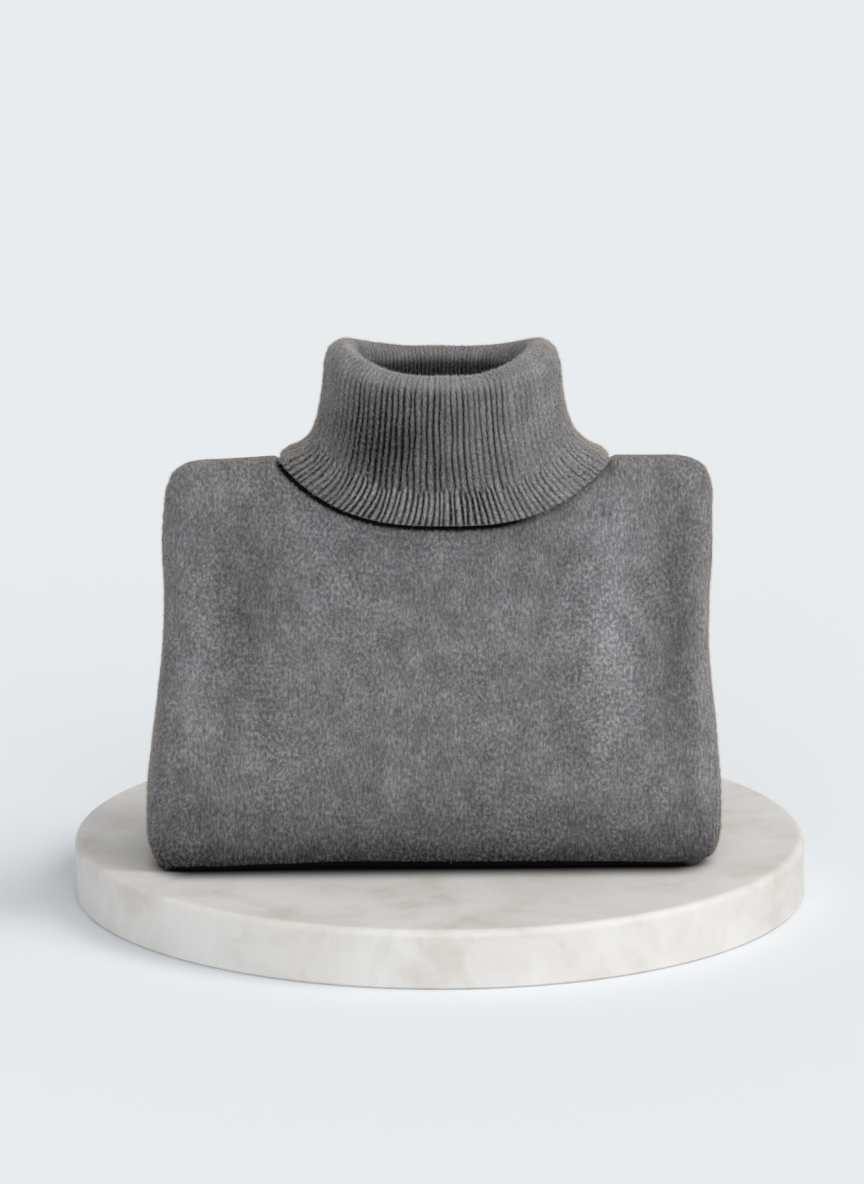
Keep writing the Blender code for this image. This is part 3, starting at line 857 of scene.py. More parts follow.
# %% The collar's way
COLLAR = table(
    "part half centre square front_y side_y back_y front side back",
    ("neck seam", 74.0, 0.5, 2.1, -88.3, -56.0, -26.0, 257.0, 269.0, 259.0),
    ("stand", 69.0, 0.5, 2.2, -85.5, -54.0, -25.0, 284.0, 292.0, 285.0),
    ("upper stand", 60.5, 1.0, 2.3, -81.0, -52.0, -26.0, 312.5, 326.0, 318.0),
    ("inside of roll", 57.5, 1.0, 2.4, -79.5, -51.0, -26.0, 325.6, 342.0, 332.0),
    ("roll rising", 60.0, 1.0, 2.4, -81.0, -51.0, -23.5, 331.1, 349.0, 338.0),
    ("crest", 66.5, 1.0, 2.4, -86.0, -51.0, -18.0, 333.1, 351.5, 340.5),
    ("roll falling", 73.5, 1.2, 2.4, -91.5, -51.0, -12.5, 330.1, 347.0, 337.0),
    ("outside of roll", 77.0, 1.3, 2.4, -94.5, -51.0, -9.0, 323.0, 338.0, 329.0),
    ("upper flap", 78.5, 1.5, 2.4, -96.5, -52.0, -7.0, 309.0, 322.0, 312.0),
    ("middle flap", 80.5, 1.7, 2.5, -98.0, -54.0, -5.5, 287.0, 306.5, 289.0),
    ("above the kink", 84.0, 2.3, 2.7, -99.0, -58.0, -4.5, 268.0, 296.0, 270.0),
    ("kink", 89.0, 3.2, 2.9, -100.5, -64.0, -4.0, 256.5, 288.0, 259.0),
    ("flare", 98.5, 3.4, 3.1, -103.5, -71.0, -3.0, 246.0, 281.6, 249.5),
    ("edge", 109.5, 3.0, 3.2, -106.0, -78.0, -1.5, 238.0, 278.4, 243.0),
)
COLLAR_DIP = 2.8
PARTS = [row["part"] for row in COLLAR]
for number, row in enumerate(COLLAR):
    row["stop"] = float(number)


def collar_surface(around, stop):
    """The middle of the collar's wall, round the tube and at a stop along its way."""
    def at(key):
        return read(COLLAR, "stop", key, stop)

    angle = around * math.tau
    power = 2 / at("square")
    wide = np.sign(np.cos(angle)) * np.abs(np.cos(angle)) ** power
    deep = np.sign(np.sin(angle)) * np.abs(np.sin(angle)) ** power
    x = at("centre") + at("half") * wide
    end_y = np.where(deep > 0, at("back_y"), at("front_y"))
    end_z = np.where(deep > 0, at("back"), at("front"))
    y = blend(at("side_y"), end_y, np.abs(deep))
    return x, y, blend(end_z, at("side"), np.abs(wide) ** COLLAR_DIP)


def collar_points(around, stop):
    return np.stack(collar_surface(around, stop), axis=-1)


# %% [markdown]
# The rows of the grid are closer where the collar bends most. Round each row the columns are spaced
# evenly along the cloth, because an oval read by its angle would crowd its ribs at the sides.

# %% Rows along the collar, and even spacing round it
COLLAR_STRETCHES = table(
    "from rows",
    ("neck seam", 12),
    ("inside of roll", 20),
    ("outside of roll", 8),
    ("upper flap", 9),
    ("middle flap", 9),
    ("above the kink", 26),
)
EDGE_STOP = float(len(COLLAR) - 1)


def collar_stops():
    starts = [PARTS.index(stretch["from"]) for stretch in COLLAR_STRETCHES] + [EDGE_STOP]
    pieces = [
        np.linspace(start, end, stretch["rows"], endpoint=False)
        for stretch, start, end in zip(COLLAR_STRETCHES, starts, starts[1:])
    ]
    return np.concatenate(pieces + [[EDGE_STOP]])


def run_along(points):
    """How far along a row of points each one is."""
    return np.concatenate([[0.0], np.cumsum(np.linalg.norm(np.diff(points, axis=0), axis=1))])


FRONT_CENTRE = 0.75
BACK_CENTRE = 0.25
STOPS = collar_stops()
COLLAR_ROWS = len(STOPS) - 1
FRONT_RUN = run_along(collar_points(np.full_like(STOPS, FRONT_CENTRE), STOPS))
print(f"collar: {COLLAR_ROWS} rows, {FRONT_RUN[-1]:.0f} mm of rib from its seam to its edge")
FINE = np.linspace(0.0, 1.0, 4001)


def spaced_around(share, stop):
    """Turns even shares of the way round, from the back, into the oval's own angle."""
    around = np.empty_like(share)
    for value in np.unique(stop):
        here = stop == value
        run = run_along(collar_points(BACK_CENTRE + FINE, np.full_like(FINE, value)))
        around[here] = np.interp(share[here] % 1.0, run / run[-1], FINE)
    return BACK_CENTRE + around


def unit(vectors):
    return vectors / np.maximum(np.linalg.norm(vectors, axis=-1, keepdims=True), 1e-12)


def collar_normal(around, stop):
    """The way that the collar's good side faces, from two small steps along its surface."""
    tiny = 2e-3
    near = np.clip(stop, tiny, EDGE_STOP - tiny)
    sideways = collar_points(around + tiny, near) - collar_points(around - tiny, near)
    onwards = collar_points(around, near + tiny) - collar_points(around, near - tiny)
    return unit(np.cross(onwards, sideways))


# %% [markdown]
# Above the kink the collar has 105 ribs. Below it the flap has to reach round a longer edge, and
# the ribs there are as narrow as before, so there are 140 of them: they fork at the kink, some a
# little higher than others. On top of the roll the rib is stretched and its ridges almost vanish.

# %% Ribs on the collar
UPPER_RIBS = Ribs(105, seed=21, drift=0.21)
FLAP_RIBS = Ribs(140, seed=22, drift=0.32)
COLLAR_COLUMNS = 840
RIDGE_OUT = 2.0
HIDDEN_OUT = -1.3
GROOVE_DEPTH = 2.0
EDGE_IN = 2.0
CREST = PARTS.index("crest")
KINK = PARTS.index("kink")
KINK_UNEVEN = 0.34
KINK_WAVES = table("times start deep", (17, 1.0, 1.0), (43, 2.0, 1.0), (71, 0.5, 0.8))
ROLL_RISES = (3.1, 4.1)
ROLL_FALLS = (6.1, 7.2)
RIBS_FADE_LEFT = (50.0, 72.0)
RIBS_FADE_RIGHT = (30.0, 62.0)
# Painted shade in patches on the collar's front, most of it at the left.
COLLAR_SHADE_PATCHES = table(
    "x height wide tall lean deep",
    (-48.0, 292.0, 40.0, 30.0, 0.0, 0.44),
    (-20.0, 292.0, 50.0, 9999.0, 0.0, 0.18),
)


def past_kink(share, stop):
    """0 above the kink and 1 below it, with a kink that is higher at some ribs than others."""
    wave = np.zeros_like(share)
    for row in KINK_WAVES:
        wave += row["deep"] * np.sin(math.tau * share * row["times"] + row["start"])
    level = KINK - 0.32 + KINK_UNEVEN * wave / 2.8
    return ease(stop, level - 0.2, level + 0.2)


def rib_hollow(share, stop, run):
    """How far the columns sway in shares of the way round, and how hollow each point is, 0 to 1."""
    upper_sway, upper = UPPER_RIBS.read(share * UPPER_RIBS.count, run, 2.6)
    flap_sway, flap = FLAP_RIBS.read(share * FLAP_RIBS.count, run, 2.0)
    below = past_kink(share, stop)
    sway = blend(upper_sway / UPPER_RIBS.count, flap_sway / FLAP_RIBS.count, below)
    return sway, blend(upper, flap, below), below


def on_roll(stop):
    """1 on top of the roll, where the rib is stretched smooth."""
    return ease(stop, *ROLL_RISES) * (1 - ease(stop, *ROLL_FALLS))


def rib_strength(x, stop, below):
    """How deep the ribs are: full in front, faint at the sides, where the rib is stretched."""
    inside = 1 - ease(stop, PARTS.index("inside of roll"), CREST)
    left = ease(-x, *RIBS_FADE_LEFT)
    right = ease(x, *RIBS_FADE_RIGHT)
    upper = (1 - 0.8 * left) * (1 - 0.72 * right)
    lower = (1 - 0.52 * left) * (1 - 0.58 * right)
    return blend(upper, lower, below) * (1 - 0.62 * on_roll(stop)) * (1 - 0.7 * inside)


# %% The collar's points and tones
def collar_parts(share, down):
    """What the collar's place and tones both need at each point."""
    row = np.rint(down * COLLAR_ROWS).astype(int)
    stop, run = STOPS[row], FRONT_RUN[row]
    sway, hollow, below = rib_hollow(share, stop, run)
    around = spaced_around(share + sway, stop)
    x, y, height = collar_surface(around, stop)
    depth = hollow * rib_strength(x, stop, below)
    return SimpleNamespace(
        around=around, stop=stop, run=run, x=x, y=y, height=height, depth=depth, below=below
    )


def collar_point(share, down):
    """The good side of the collar with its ribs and its rounded edge."""
    at = collar_parts(share, down)
    edge = ease(at.run, FRONT_RUN[-1] - 5.0, FRONT_RUN[-1]) ** 1.5
    swell = 0.8 * slow_waves(at.x * 1.3 + at.y, at.height, 8, 95.0)
    swell *= 1 - 0.7 * at.below
    turned = ease(np.abs(at.x), 58.0, 74.0)
    swell += 0.6 * turned * slow_waves(at.y * 1.5, at.height, 9, 15.0, count=4)
    out = RIDGE_OUT - GROOVE_DEPTH * at.depth - EDGE_IN * edge + swell
    middle = np.stack([at.x, at.y, at.height], axis=-1)
    return place(*(middle + collar_normal(at.around, at.stop) * out[:, None]).T)


def collar_painted_shade(share, down):
    """Painted shade at each point: in the grooves, down inside the neck and in patches on the front.
    """
    at = collar_parts(share, down)
    deep_inside = (1 - ease(at.height, 331.0, 338.0)) * (at.stop < CREST - 1)
    upright = (at.stop > CREST) * (1 - on_roll(at.stop)) * (at.y < -50)
    shade_patch = crease_height(COLLAR_SHADE_PATCHES, at.x, at.height)
    shade_patch = upright * blend(shade_patch + 0.07, 0.13 + 0.22 * ease(-at.x, 40.0, 80.0), at.below)
    grooves = blend(0.95, 1.3, at.below) * at.depth**0.8
    return np.clip(grooves + 0.76 * deep_inside + shade_patch, 0, 1)


def collar_painted_light(share, down):
    """Painted highlights on the roll's rim and top and the flap's ridges; painted shade in the
    flap's grooves, on the roll's left and at the back inside.
    """
    at = collar_parts(share, down)
    front = 1 - ease(at.y, -58.0, -42.0)
    rim = np.exp(-(((at.stop - PARTS.index("roll rising") - 0.7) / 0.45) ** 2))
    glint = 1.1 * rim * np.exp(-(((at.x + 57) / 7) ** 2))
    inside = 1 - ease(at.stop, 4.6, 5.4)
    ridges = at.below * (0.72 - 1.9 * at.depth)
    roll = on_roll(at.stop) * (0.26 - 0.36 * ease(-at.x, 35.0, 60.0))
    return front * (roll + 0.7 * rim + glint) - 0.2 * (1 - front) * inside + ridges


# %% Make the collar
HIDDEN_ROWS = 42
HIDDEN_COLUMNS = COLLAR_COLUMNS // 4


def collar_hidden(share, down):
    """The collar's other side, between the stand and the flap, where nobody sees it."""
    stop = np.interp(down, np.linspace(0, 1, COLLAR_ROWS + 1), STOPS)
    around = spaced_around(share, stop)
    return place(*(collar_points(around, stop) + collar_normal(around, stop) * HIDDEN_OUT).T)


def open_rings(bm):
    """The open edges of a bmesh, grouped into the rings that they form."""
    left = {edge for edge in bm.edges if edge.is_boundary}
    rings = []
    while left:
        ring = [left.pop()]
        for edge in ring:
            for vert in edge.verts:
                for other in vert.link_edges:
                    if other in left:
                        left.remove(other)
                        ring.append(other)
        rings.append(ring)
    return rings


def widest(ring):
    return max(vert.co.x for edge in ring for vert in edge.verts)


def make_collar():
    tones = [("painted_shade", collar_painted_shade), ("painted_light_and_tone", collar_painted_light)]
    visible = knit_grid(
        "collar_rib", COLLAR_COLUMNS, COLLAR_ROWS, collar_point, flip=True, closed=True, tones=tones
    )
    hidden = knit_grid("collar_hidden", HIDDEN_COLUMNS, HIDDEN_ROWS, collar_hidden, closed=True)
    bm = bmesh.new()
    bm.from_mesh(visible)
    bm.from_mesh(hidden)
    bpy.data.meshes.remove(hidden)
    rings = sorted(open_rings(bm), key=widest)
    print("collar's open rings", [len(ring) for ring in rings])
    bmesh.ops.bridge_loops(bm, edges=rings[0] + rings[1])
    bmesh.ops.bridge_loops(bm, edges=rings[2] + rings[3])
    bmesh.ops.triangulate(bm, faces=[face for face in bm.faces if len(face.verts) > 4])
    bm.to_mesh(visible)
    bm.free()
    visible.name = "collar_rib"
    return add_piece("collar_rib", visible, "wool_rib", "collar")


collar = make_collar()

# %% Make the front panel
front_panel = make_front_panel()
print("front panel has", len(front_panel.data.polygons), "faces")

# %% [markdown]
# ## The hem rib
#
# The hem is the same rib as the collar. It runs across the top of the lower half, at the back.

# %% Make the hem rib
HEM_RIBS = Ribs(98, seed=31, drift=0.16)
HEM_ROWS = 20
HEM_COLUMNS = HEM_RIBS.count * 7
HEM_GROOVE = 1.6


def hem_parts(across, up):
    sway, hollow = HEM_RIBS.read(across * HEM_RIBS.count, up * HEM_RIB, 2.6)
    inside = ease(across, 0.0, 0.03) * (1 - ease(across, 0.97, 1.0))
    return across + sway * inside / HEM_RIBS.count, hollow


def hem_point(across, up):
    swayed = hem_parts(across, up)[0]
    height = blend(HEM_HEIGHT - HEM_RIB, HEM_HEIGHT, up)
    return place(*fold_section(swayed, *back_line(height)))


# Painted shade in the hem's grooves.
def hem_painted_shade(across, up):
    return 0.75 * hem_parts(across, up)[1]


def hem_relief(across, up):
    """The ribs stand a little out and round off at both long edges."""
    rounded = 1 - ease(up, 0.0, 0.05) * (1 - ease(up, 0.95, 1.0))
    return 0.9 - HEM_GROOVE * hem_parts(across, up)[1] - 1.3 * rounded


def make_hem():
    tones = [("painted_shade", hem_painted_shade), ("relief", hem_relief)]
    mesh = knit_grid("hem_rib_knit", HEM_COLUMNS, HEM_ROWS, hem_point, flip=True, tones=tones)
    relief = values_of(mesh.attributes["relief"].data, "value")
    mesh.attributes.remove(mesh.attributes["relief"])
    push_out(mesh, relief)
    piece = add_piece("hem_rib_knit", mesh, "wool_rib", "hem_rib")
    thicken(piece)
    return piece


hem = make_hem()

# %% [markdown]
# ## The layers inside
#
# Between the outer panels lie the rest of the back panel, the sleeves and the side flaps, pressed
# together. They fill the space as one soft block, and only its edges show, at the top behind the
# collar and in the side grooves. So it is one rounded solid with a shallow groove between layer
# and layer round its edges.

# %% Make the inner layers
LAYER_STEP = 5.6
LAYER_GROOVE = 1.1
VOXEL = 2.6


def lay_knit(mesh):
    """A UV map in metres, laid on each face from the side that it looks to."""
    facing = np.abs(values_of(mesh.polygons, "normal", 3)).argmax(axis=1)
    looks = np.repeat(facing, values_of(mesh.polygons, "loop_total", kind=np.int32))
    x, y, z = points_of(mesh)[values_of(mesh.loops, "vertex_index", kind=np.int32)].T
    put_uv(mesh, np.where(looks == 0, y, x), np.where(looks == 2, y, z))


def make_layers():
    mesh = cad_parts["folded_layers"].data.copy()
    mesh.name = "folded_layers_knit"
    weld(mesh)
    mesh.materials.clear()
    piece = add_piece("folded_layers_knit", mesh, "wool_jersey", "folded_layers")
    even = piece.modifiers.new("even", "REMESH")
    even.mode = "VOXEL"
    even.voxel_size = VOXEL * MM
    even.use_smooth_shade = True
    soften = piece.modifiers.new("soften", "SMOOTH")
    soften.factor = 0.5
    soften.iterations = 6
    settle(piece)
    normals = normals_of(piece.data)
    y = points_of(piece.data)[:, 1] / MM
    edge = 1 - np.abs(normals[:, 1]) ** 2
    between = np.abs(2 * ((y / LAYER_STEP) % 1.0) - 1) ** 3
    push_out(piece.data, -0.6 - LAYER_GROOVE * edge * between)
    lay_knit(piece.data)
    piece.data.shade_smooth()
    return piece


layers = make_layers()

# %% [markdown]
# ## Loose fibres
#
# Brushed wool never ends in a clean line. A thin fuzz of loose fibres stands off it, and against
# the light it softens every edge of the sweater. Each fibre here is a thin closed spike with its
# root in the cloth. Most of them are where the cloth turns away from the front, since that is
# where they show. Real ones are finer and far more, so these are drawn a little thicker.

# %% Make the fibres
FIBRE_RADIUS = 0.13
FIBRE_LENGTH = 2.2
FIBRE_ROOT = 0.4
LOWEST_FIBRE = 6.0


def add_nap(name, cloth, slot, count, seed, middle, half):
    """So many fibres on the outer side of the cloth, most of them at its two sides or on top."""
    mesh = cloth.data
    mesh.calc_loop_triangles()
    corners = values_of(mesh.loop_triangles, "vertices", 3, np.int32)
    a, b, c = points_of(mesh)[corners].transpose(1, 0, 2) / MM
    normal = np.cross(b - a, c - a)
    area = np.linalg.norm(normal, axis=1)
    normal = normal / np.maximum(area, 1e-9)[:, None]
    outside = np.sum(normal * (a - (middle[0], middle[1], middle[2] + STAND_TOP)), axis=1) > 0
    low = a[:, 2] - STAND_TOP < LOWEST_FIBRE
    rim = 0.1 + ease(np.abs(a[:, 0]), half - 20, half) + ease(normal[:, 2], 0.4, 0.9)
    weight = area * outside * ~low * (0.012 + rim * (1 - np.abs(normal[:, 1])) ** 1.6)
    draw = np.random.default_rng(seed)
    chosen = draw.choice(len(area), size=count, p=weight / weight.sum())
    first, second = np.sort(draw.uniform(0, 1, (2, count)), axis=0)[:, :, None]
    root = a[chosen] * first + b[chosen] * (second - first) + c[chosen] * (1 - second)
    away = normal[chosen]
    lean = unit(away + draw.normal(0, 0.55, (count, 3)))
    length = FIBRE_LENGTH * draw.uniform(0.4, 1.0, (count, 1)) ** 1.3
    sideways = unit(np.cross(lean, draw.normal(0, 1, (count, 3))))
    third = np.cross(lean, sideways)
    made = np.empty((count, 4, 3))
    for number in range(3):
        turn = math.tau * number / 3
        ring = sideways * math.cos(turn) + third * math.sin(turn)
        made[:, number] = root - away * FIBRE_ROOT + ring * FIBRE_RADIUS
    made[:, 3] = root + lean * length
    spike = np.array([[0, 1, 3], [1, 2, 3], [2, 0, 3], [0, 2, 1]])
    faces = (np.arange(count)[:, None, None] * 4 + spike).reshape(-1, 3)
    nap = bpy.data.meshes.new(name)
    nap.from_pydata((made.reshape(-1, 3) * MM).tolist(), [], faces.tolist())
    print(name, count, "fibres")
    return add_piece(name, nap, slot)


BODY_MIDDLE = (0.0, -76.0, 150.0)
NECK_MIDDLE = (0.0, -52.0, 250.0)
body_nap = add_nap("body_nap", front_panel, "wool_jersey", 40000, 61, BODY_MIDDLE, half=178.0)
collar_nap = add_nap("collar_nap", collar, "wool_rib", 22000, 62, NECK_MIDDLE, half=76.0)

# %% [markdown]
# ## The marble disc
#
# The disc is turned from one slab, honed to a soft surface and eased round its upper edge. It is a
# profile spun round the middle.

# %% Make the disc
EDGE_ROUND = 5.5
EDGE_STEPS = 10
UNDER_EDGE = 1.6
TURNS = 256


def make_disc():
    profile = [(0.0, STAND_TOP), (STAND_RADIUS * 0.5, STAND_TOP)]
    for step in range(EDGE_STEPS + 1):
        turn = math.pi / 2 * step / EDGE_STEPS
        out = STAND_RADIUS - EDGE_ROUND * (1 - math.sin(turn))
        profile.append((out, STAND_TOP - EDGE_ROUND * (1 - math.cos(turn))))
    profile += [(STAND_RADIUS, UNDER_EDGE), (STAND_RADIUS - UNDER_EDGE, 0.0)]
    profile += [(STAND_RADIUS * 0.5, 0.0), (0.0, 0.0)]
    bm = bmesh.new()
    verts = [bm.verts.new((x * MM, 0.0, z * MM)) for x, z in profile]
    edges = [bm.edges.new(ends) for ends in zip(verts, verts[1:])]
    whole = {"axis": (0, 0, 1), "cent": (0, 0, 0), "angle": math.tau}
    bmesh.ops.spin(bm, geom=verts + edges, steps=TURNS, use_merge=True, **whole)
    bmesh.ops.remove_doubles(bm, verts=bm.verts, dist=1e-5)
    bmesh.ops.recalc_face_normals(bm, faces=bm.faces)
    mesh = to_mesh(bm, "marble_disc")
    piece = add_piece("marble_disc", mesh, "honed_marble", "display_stand")
    mesh.set_sharp_from_angle(angle=math.radians(32))
    return piece


disc = make_disc()
print("disc has", len(disc.data.polygons), "faces")

# %% [markdown]
# ## Colour and functions for nodes
#
# Colours are written as the sRGB hex values that a colour picker shows, and one function turns
# them into the linear values that the shaders need. Another adds a node with its settings and
# inputs, and short ones name the nodes that are used most, so a material reads as a short list.

# %% Helpers for materials
def linear(colour):
    channels = [int(colour[i : i + 2], 16) / 255 for i in (1, 3, 5)]
    return [c / 12.92 if c <= 0.04045 else ((c + 0.055) / 1.055) ** 2.4 for c in channels] + [1.0]


def fill(tree, node, inputs):
    """Fills a node's inputs with values or with other nodes' outputs."""
    for socket, value in inputs.items():
        if isinstance(value, bpy.types.NodeSocket):
            tree.links.new(value, node.inputs[socket])
        else:
            node.inputs[socket].default_value = value


def add(tree, kind, inputs, **settings):
    """Adds a node, sets its properties and fills its inputs."""
    node = tree.nodes.new(kind)
    for name, value in settings.items():
        setattr(node, name, value)
    fill(tree, node, inputs)
    return node


def new_material(name, inputs):
    """A material whose one shader starts with these inputs."""
    material = bpy.data.materials.new(name)
    material.use_nodes = True
    tree = material.node_tree
    shader = tree.nodes["Principled BSDF"]
    fill(tree, shader, inputs)
    return material, tree, shader


def maths(tree, operation, first, second=0.0, third=0.0, clamp=False):
    inputs = {0: first, 1: second, 2: third}
    return add(tree, "ShaderNodeMath", inputs, operation=operation, use_clamp=clamp).outputs[0]


def noise(tree, vector, scale, detail, roughness=0.55, size="3D"):
    inputs = {"Vector": vector, "Scale": scale, "Detail": detail, "Roughness": roughness}
    return add(tree, "ShaderNodeTexNoise", inputs, noise_dimensions=size)


def remap(tree, value, start, end, low=0.0, high=1.0, kind="SMOOTHSTEP"):
    """Turns the values from start to end into those from low to high."""
    inputs = {"Value": value, "From Min": start, "From Max": end, "To Min": low, "To Max": high}
    return add(tree, "ShaderNodeMapRange", inputs, interpolation_type=kind).outputs[0]


def colour_ramp(tree, value, *stops):
    """A blend through colours, each of them at its own value."""
    ramp = add(tree, "ShaderNodeValToRGB", {"Fac": value})
    elements = ramp.color_ramp.elements
    elements[0].position = stops[0][0]
    elements[1].position = stops[-1][0]
    for position, _ in stops[1:-1]:
        elements.new(position)
    for element, (_, colour) in zip(elements, stops):
        element.color = linear(colour)
    return ramp.outputs[0]


def mix_colour(tree, amount, first, second):
    inputs = {"Factor": amount, "A": first, "B": second}
    return add(tree, "ShaderNodeMix", inputs, data_type="RGBA").outputs["Result"]


def attribute(tree, name):
    return add(tree, "ShaderNodeAttribute", {}, attribute_name=name).outputs["Fac"]


# %% [markdown]
# ## Brushed wool
#
# The yarn is melange wool: dark and light fibres carded together before spinning, so the colour is
# a mottle of short streaks that lie along the stitches, and never one flat grey. The knit was
# brushed, which raises a nap: it hides most of the stitches, softens every edge and glows a little
# where it is seen edge on. That glow is sheen. The stitches themselves are a bump of slanting
# legs, two to each column, and the nap is a finer bump of noise over them.

# %% Streaks and stitches
def streaks(tree, metres, wide, tall, detail, seed, lean=0.0):
    """Noise stretched along the stitches: wide by tall in millimetres."""
    inputs = {
        "Vector": metres,
        "Rotation": (0, 0, math.radians(lean)),
        "Scale": (1000 / wide, 1000 / tall, 1.0),
        "Location": (seed, seed * 0.37, 0.0),
    }
    mapped = add(tree, "ShaderNodeMapping", inputs).outputs[0]
    return noise(tree, mapped, 1.0, detail, size="2D").outputs["Fac"]


def stitch_bump(tree, metres, wale, course):
    """Columns of slanting stitch legs, from 0 between them to 1 on top."""
    split = add(tree, "ShaderNodeSeparateXYZ", {0: metres})
    column = maths(tree, "MULTIPLY", split.outputs[0], 1000 / wale)
    row = maths(tree, "MULTIPLY", split.outputs[1], 1000 / course)
    within = maths(tree, "SUBTRACT", maths(tree, "FRACT", column), 0.5)
    off_centre = maths(tree, "ABSOLUTE", within)
    slanted = maths(tree, "ADD", row, maths(tree, "MULTIPLY", off_centre, 1.7))
    leg = maths(tree, "SINE", maths(tree, "MULTIPLY", off_centre, math.tau))
    link = maths(tree, "ABSOLUTE", maths(tree, "SINE", maths(tree, "MULTIPLY", slanted, math.pi)))
    return maths(tree, "MULTIPLY", leg, maths(tree, "ADD", maths(tree, "MULTIPLY", link, 0.6), 0.4))


# %% Wool
FLECK_SHARE = 0.76
FINE_SHARE = 0.3
CLOUD_SHARE = 0.28
DARKER = 0.17
PAINTED_LIGHT_AND_TONE_GAIN = 0.34
SHEEN = 0.2
NAP_DEPTH = 0.7
FLECK_DEPTH = 1.3
BUMP_DISTANCE = 0.0009
GLOW = "#D9D5D0"
MATT = {"Roughness": 0.9, "Specular IOR Level": 0.1}


def wool(name, dark, middle, light, deep, grain, wale, course, stitch):
    """Melange wool: grain scales its flecks, and wale and course are a stitch's sizes."""
    inputs = {"Sheen Roughness": 0.5, "Sheen Tint": linear(GLOW), **MATT, "Roughness": 0.95}
    material, tree, shader = new_material(name, inputs)
    metres = add(tree, "ShaderNodeUVMap", {}, uv_map="knit").outputs[0]
    patch = streaks(tree, metres, 60.0, 90.0, 2.0, 7.7)
    upright = remap(tree, patch, 0.4, 0.6, 0.15, 0.6, kind="LINEAR")
    long = streaks(tree, metres, 1.7 * grain, 5.0 * grain, 2.5, 3.1, lean=2.0)
    short = streaks(tree, metres, 2.3 * grain, 2.9 * grain, 2.5, 4.3, lean=4.0)
    flecks = {"Factor": upright, "A": short, "B": long}
    fleck = add(tree, "ShaderNodeMix", flecks, data_type="FLOAT").outputs[0]
    fine = streaks(tree, metres, 0.9, 1.7, 1.5, 9.4, lean=-6.0)
    cloud = streaks(tree, metres, 14.0, 20.0, 3.0, 5.7)
    mix = maths(tree, "MULTIPLY", fleck, FLECK_SHARE)
    mix = maths(tree, "MULTIPLY_ADD", fine, FINE_SHARE, mix)
    mix = maths(tree, "MULTIPLY_ADD", cloud, CLOUD_SHARE, mix)
    mix = maths(tree, "SUBTRACT", mix, DARKER)
    melange = colour_ramp(tree, mix, (0.3, dark), (0.5, middle), (0.7, light))
    # Painted light and shade: the kept patches make the colour paler or darker.
    gain = maths(tree, "MULTIPLY_ADD", attribute(tree, "painted_light_and_tone"), PAINTED_LIGHT_AND_TONE_GAIN, 1.0)
    lit = add(tree, "ShaderNodeVectorMath", {0: melange, "Scale": gain}, operation="SCALE")
    # Painted shade: the colour goes towards the deep near-black, raggedly along the flecks, and the
    # sheen fades there.
    ragged = maths(tree, "MULTIPLY_ADD", fleck, -0.9, 1.42)
    painted_shade = maths(tree, "MULTIPLY", attribute(tree, "painted_shade"), ragged, clamp=True)
    stitches = stitch_bump(tree, metres, wale, course)
    relief = maths(tree, "MULTIPLY", stitches, stitch)
    relief = maths(tree, "MULTIPLY_ADD", fleck, FLECK_DEPTH, relief)
    relief = maths(tree, "MULTIPLY_ADD", fine, NAP_DEPTH, relief)
    bump = {"Height": relief, "Strength": 0.7, "Distance": BUMP_DISTANCE}
    inputs = {
        "Base Color": mix_colour(tree, painted_shade, lit.outputs[0], linear(deep)),
        "Sheen Weight": maths(tree, "MULTIPLY_ADD", painted_shade, -SHEEN, SHEEN, clamp=True),
        "Normal": add(tree, "ShaderNodeBump", bump).outputs[0],
    }
    fill(tree, shader, inputs)
    return material


# Deep is the near-black colour of the painted shade.
WOOLS = table(
    "name dark middle light deep grain wale course stitch",
    ("brushed_melange_wool_jersey", "#4F4E50", "#6E6D6F", "#919092", "#080808", 1.0, 1.9, 1.5, 0.35),
    ("melange_wool_rib", "#5C5B5D", "#79787A", "#999899", "#0C0B0C", 0.7, 4.1, 1.6, 0.0),
)
JERSEY, RIB = [wool(**row) for row in WOOLS]

# A single fibre is paler than the cloth, because the light goes through it.
FIBRE = new_material("loose_wool_fibre", {"Base Color": linear("#BFB7AE"), **MATT})[0]
print("wool materials", JERSEY.name, RIB.name, FIBRE.name)

# %% [markdown]
# ## Honed marble
#
# The disc is a warm white marble with faint, cloudy beige veins. Honing leaves it satin rather
# than glossy. The veins are noise that bends another noise, kept pale and wide.

# %% The cloth's painted shade and a painted shadow on the marble
CONTACT = {"x": -6.0, "y": -57.0, "half_x": 160.0, "half_y": 27.0, "corner": 13.0, "reach": 32.0}
SIDEWAYS = 1.3
ASKEW = 0.037
LEFT_SHADOW_MIDDLE = (-0.215, 0.035, 0.04)
LEFT_SHADOW_REACH = 80.0
LEFT_SHADOW_STRENGTH = 0.26


def contact_shade(tree, place_on):
    """0 where the wool rests on the marble, rising to 1 a finger's width off, less at the sides."""
    x, y = add(tree, "ShaderNodeSeparateXYZ", {0: place_on}).outputs[:2]
    away = []
    for axis, along in (("x", x), ("y", maths(tree, "MULTIPLY_ADD", x, -ASKEW, y))):
        from_middle = maths(tree, "SUBTRACT", along, CONTACT[axis] * MM)
        from_middle = maths(tree, "ABSOLUTE", from_middle)
        past = maths(tree, "SUBTRACT", from_middle, CONTACT["half_" + axis] * MM)
        past = maths(tree, "MAXIMUM", past, 0.0)
        past = maths(tree, "MULTIPLY", past, SIDEWAYS if axis == "x" else 1.0)
        away.append(maths(tree, "POWER", past, 2.0))
    distance = maths(tree, "SQRT", maths(tree, "ADD", *away))
    near = CONTACT["corner"]
    return remap(tree, distance, near * MM, (near + CONTACT["reach"]) * MM)


def left_painted_shadow(tree, place_on):
    """How strong a painted shadow is, as one wide grey patch at the disc's left."""
    offset = add(tree, "ShaderNodeVectorMath", {0: place_on, 1: LEFT_SHADOW_MIDDLE}, operation="DISTANCE")
    return remap(tree, offset.outputs["Value"], 0.0, LEFT_SHADOW_REACH * MM, LEFT_SHADOW_STRENGTH, 0.0)


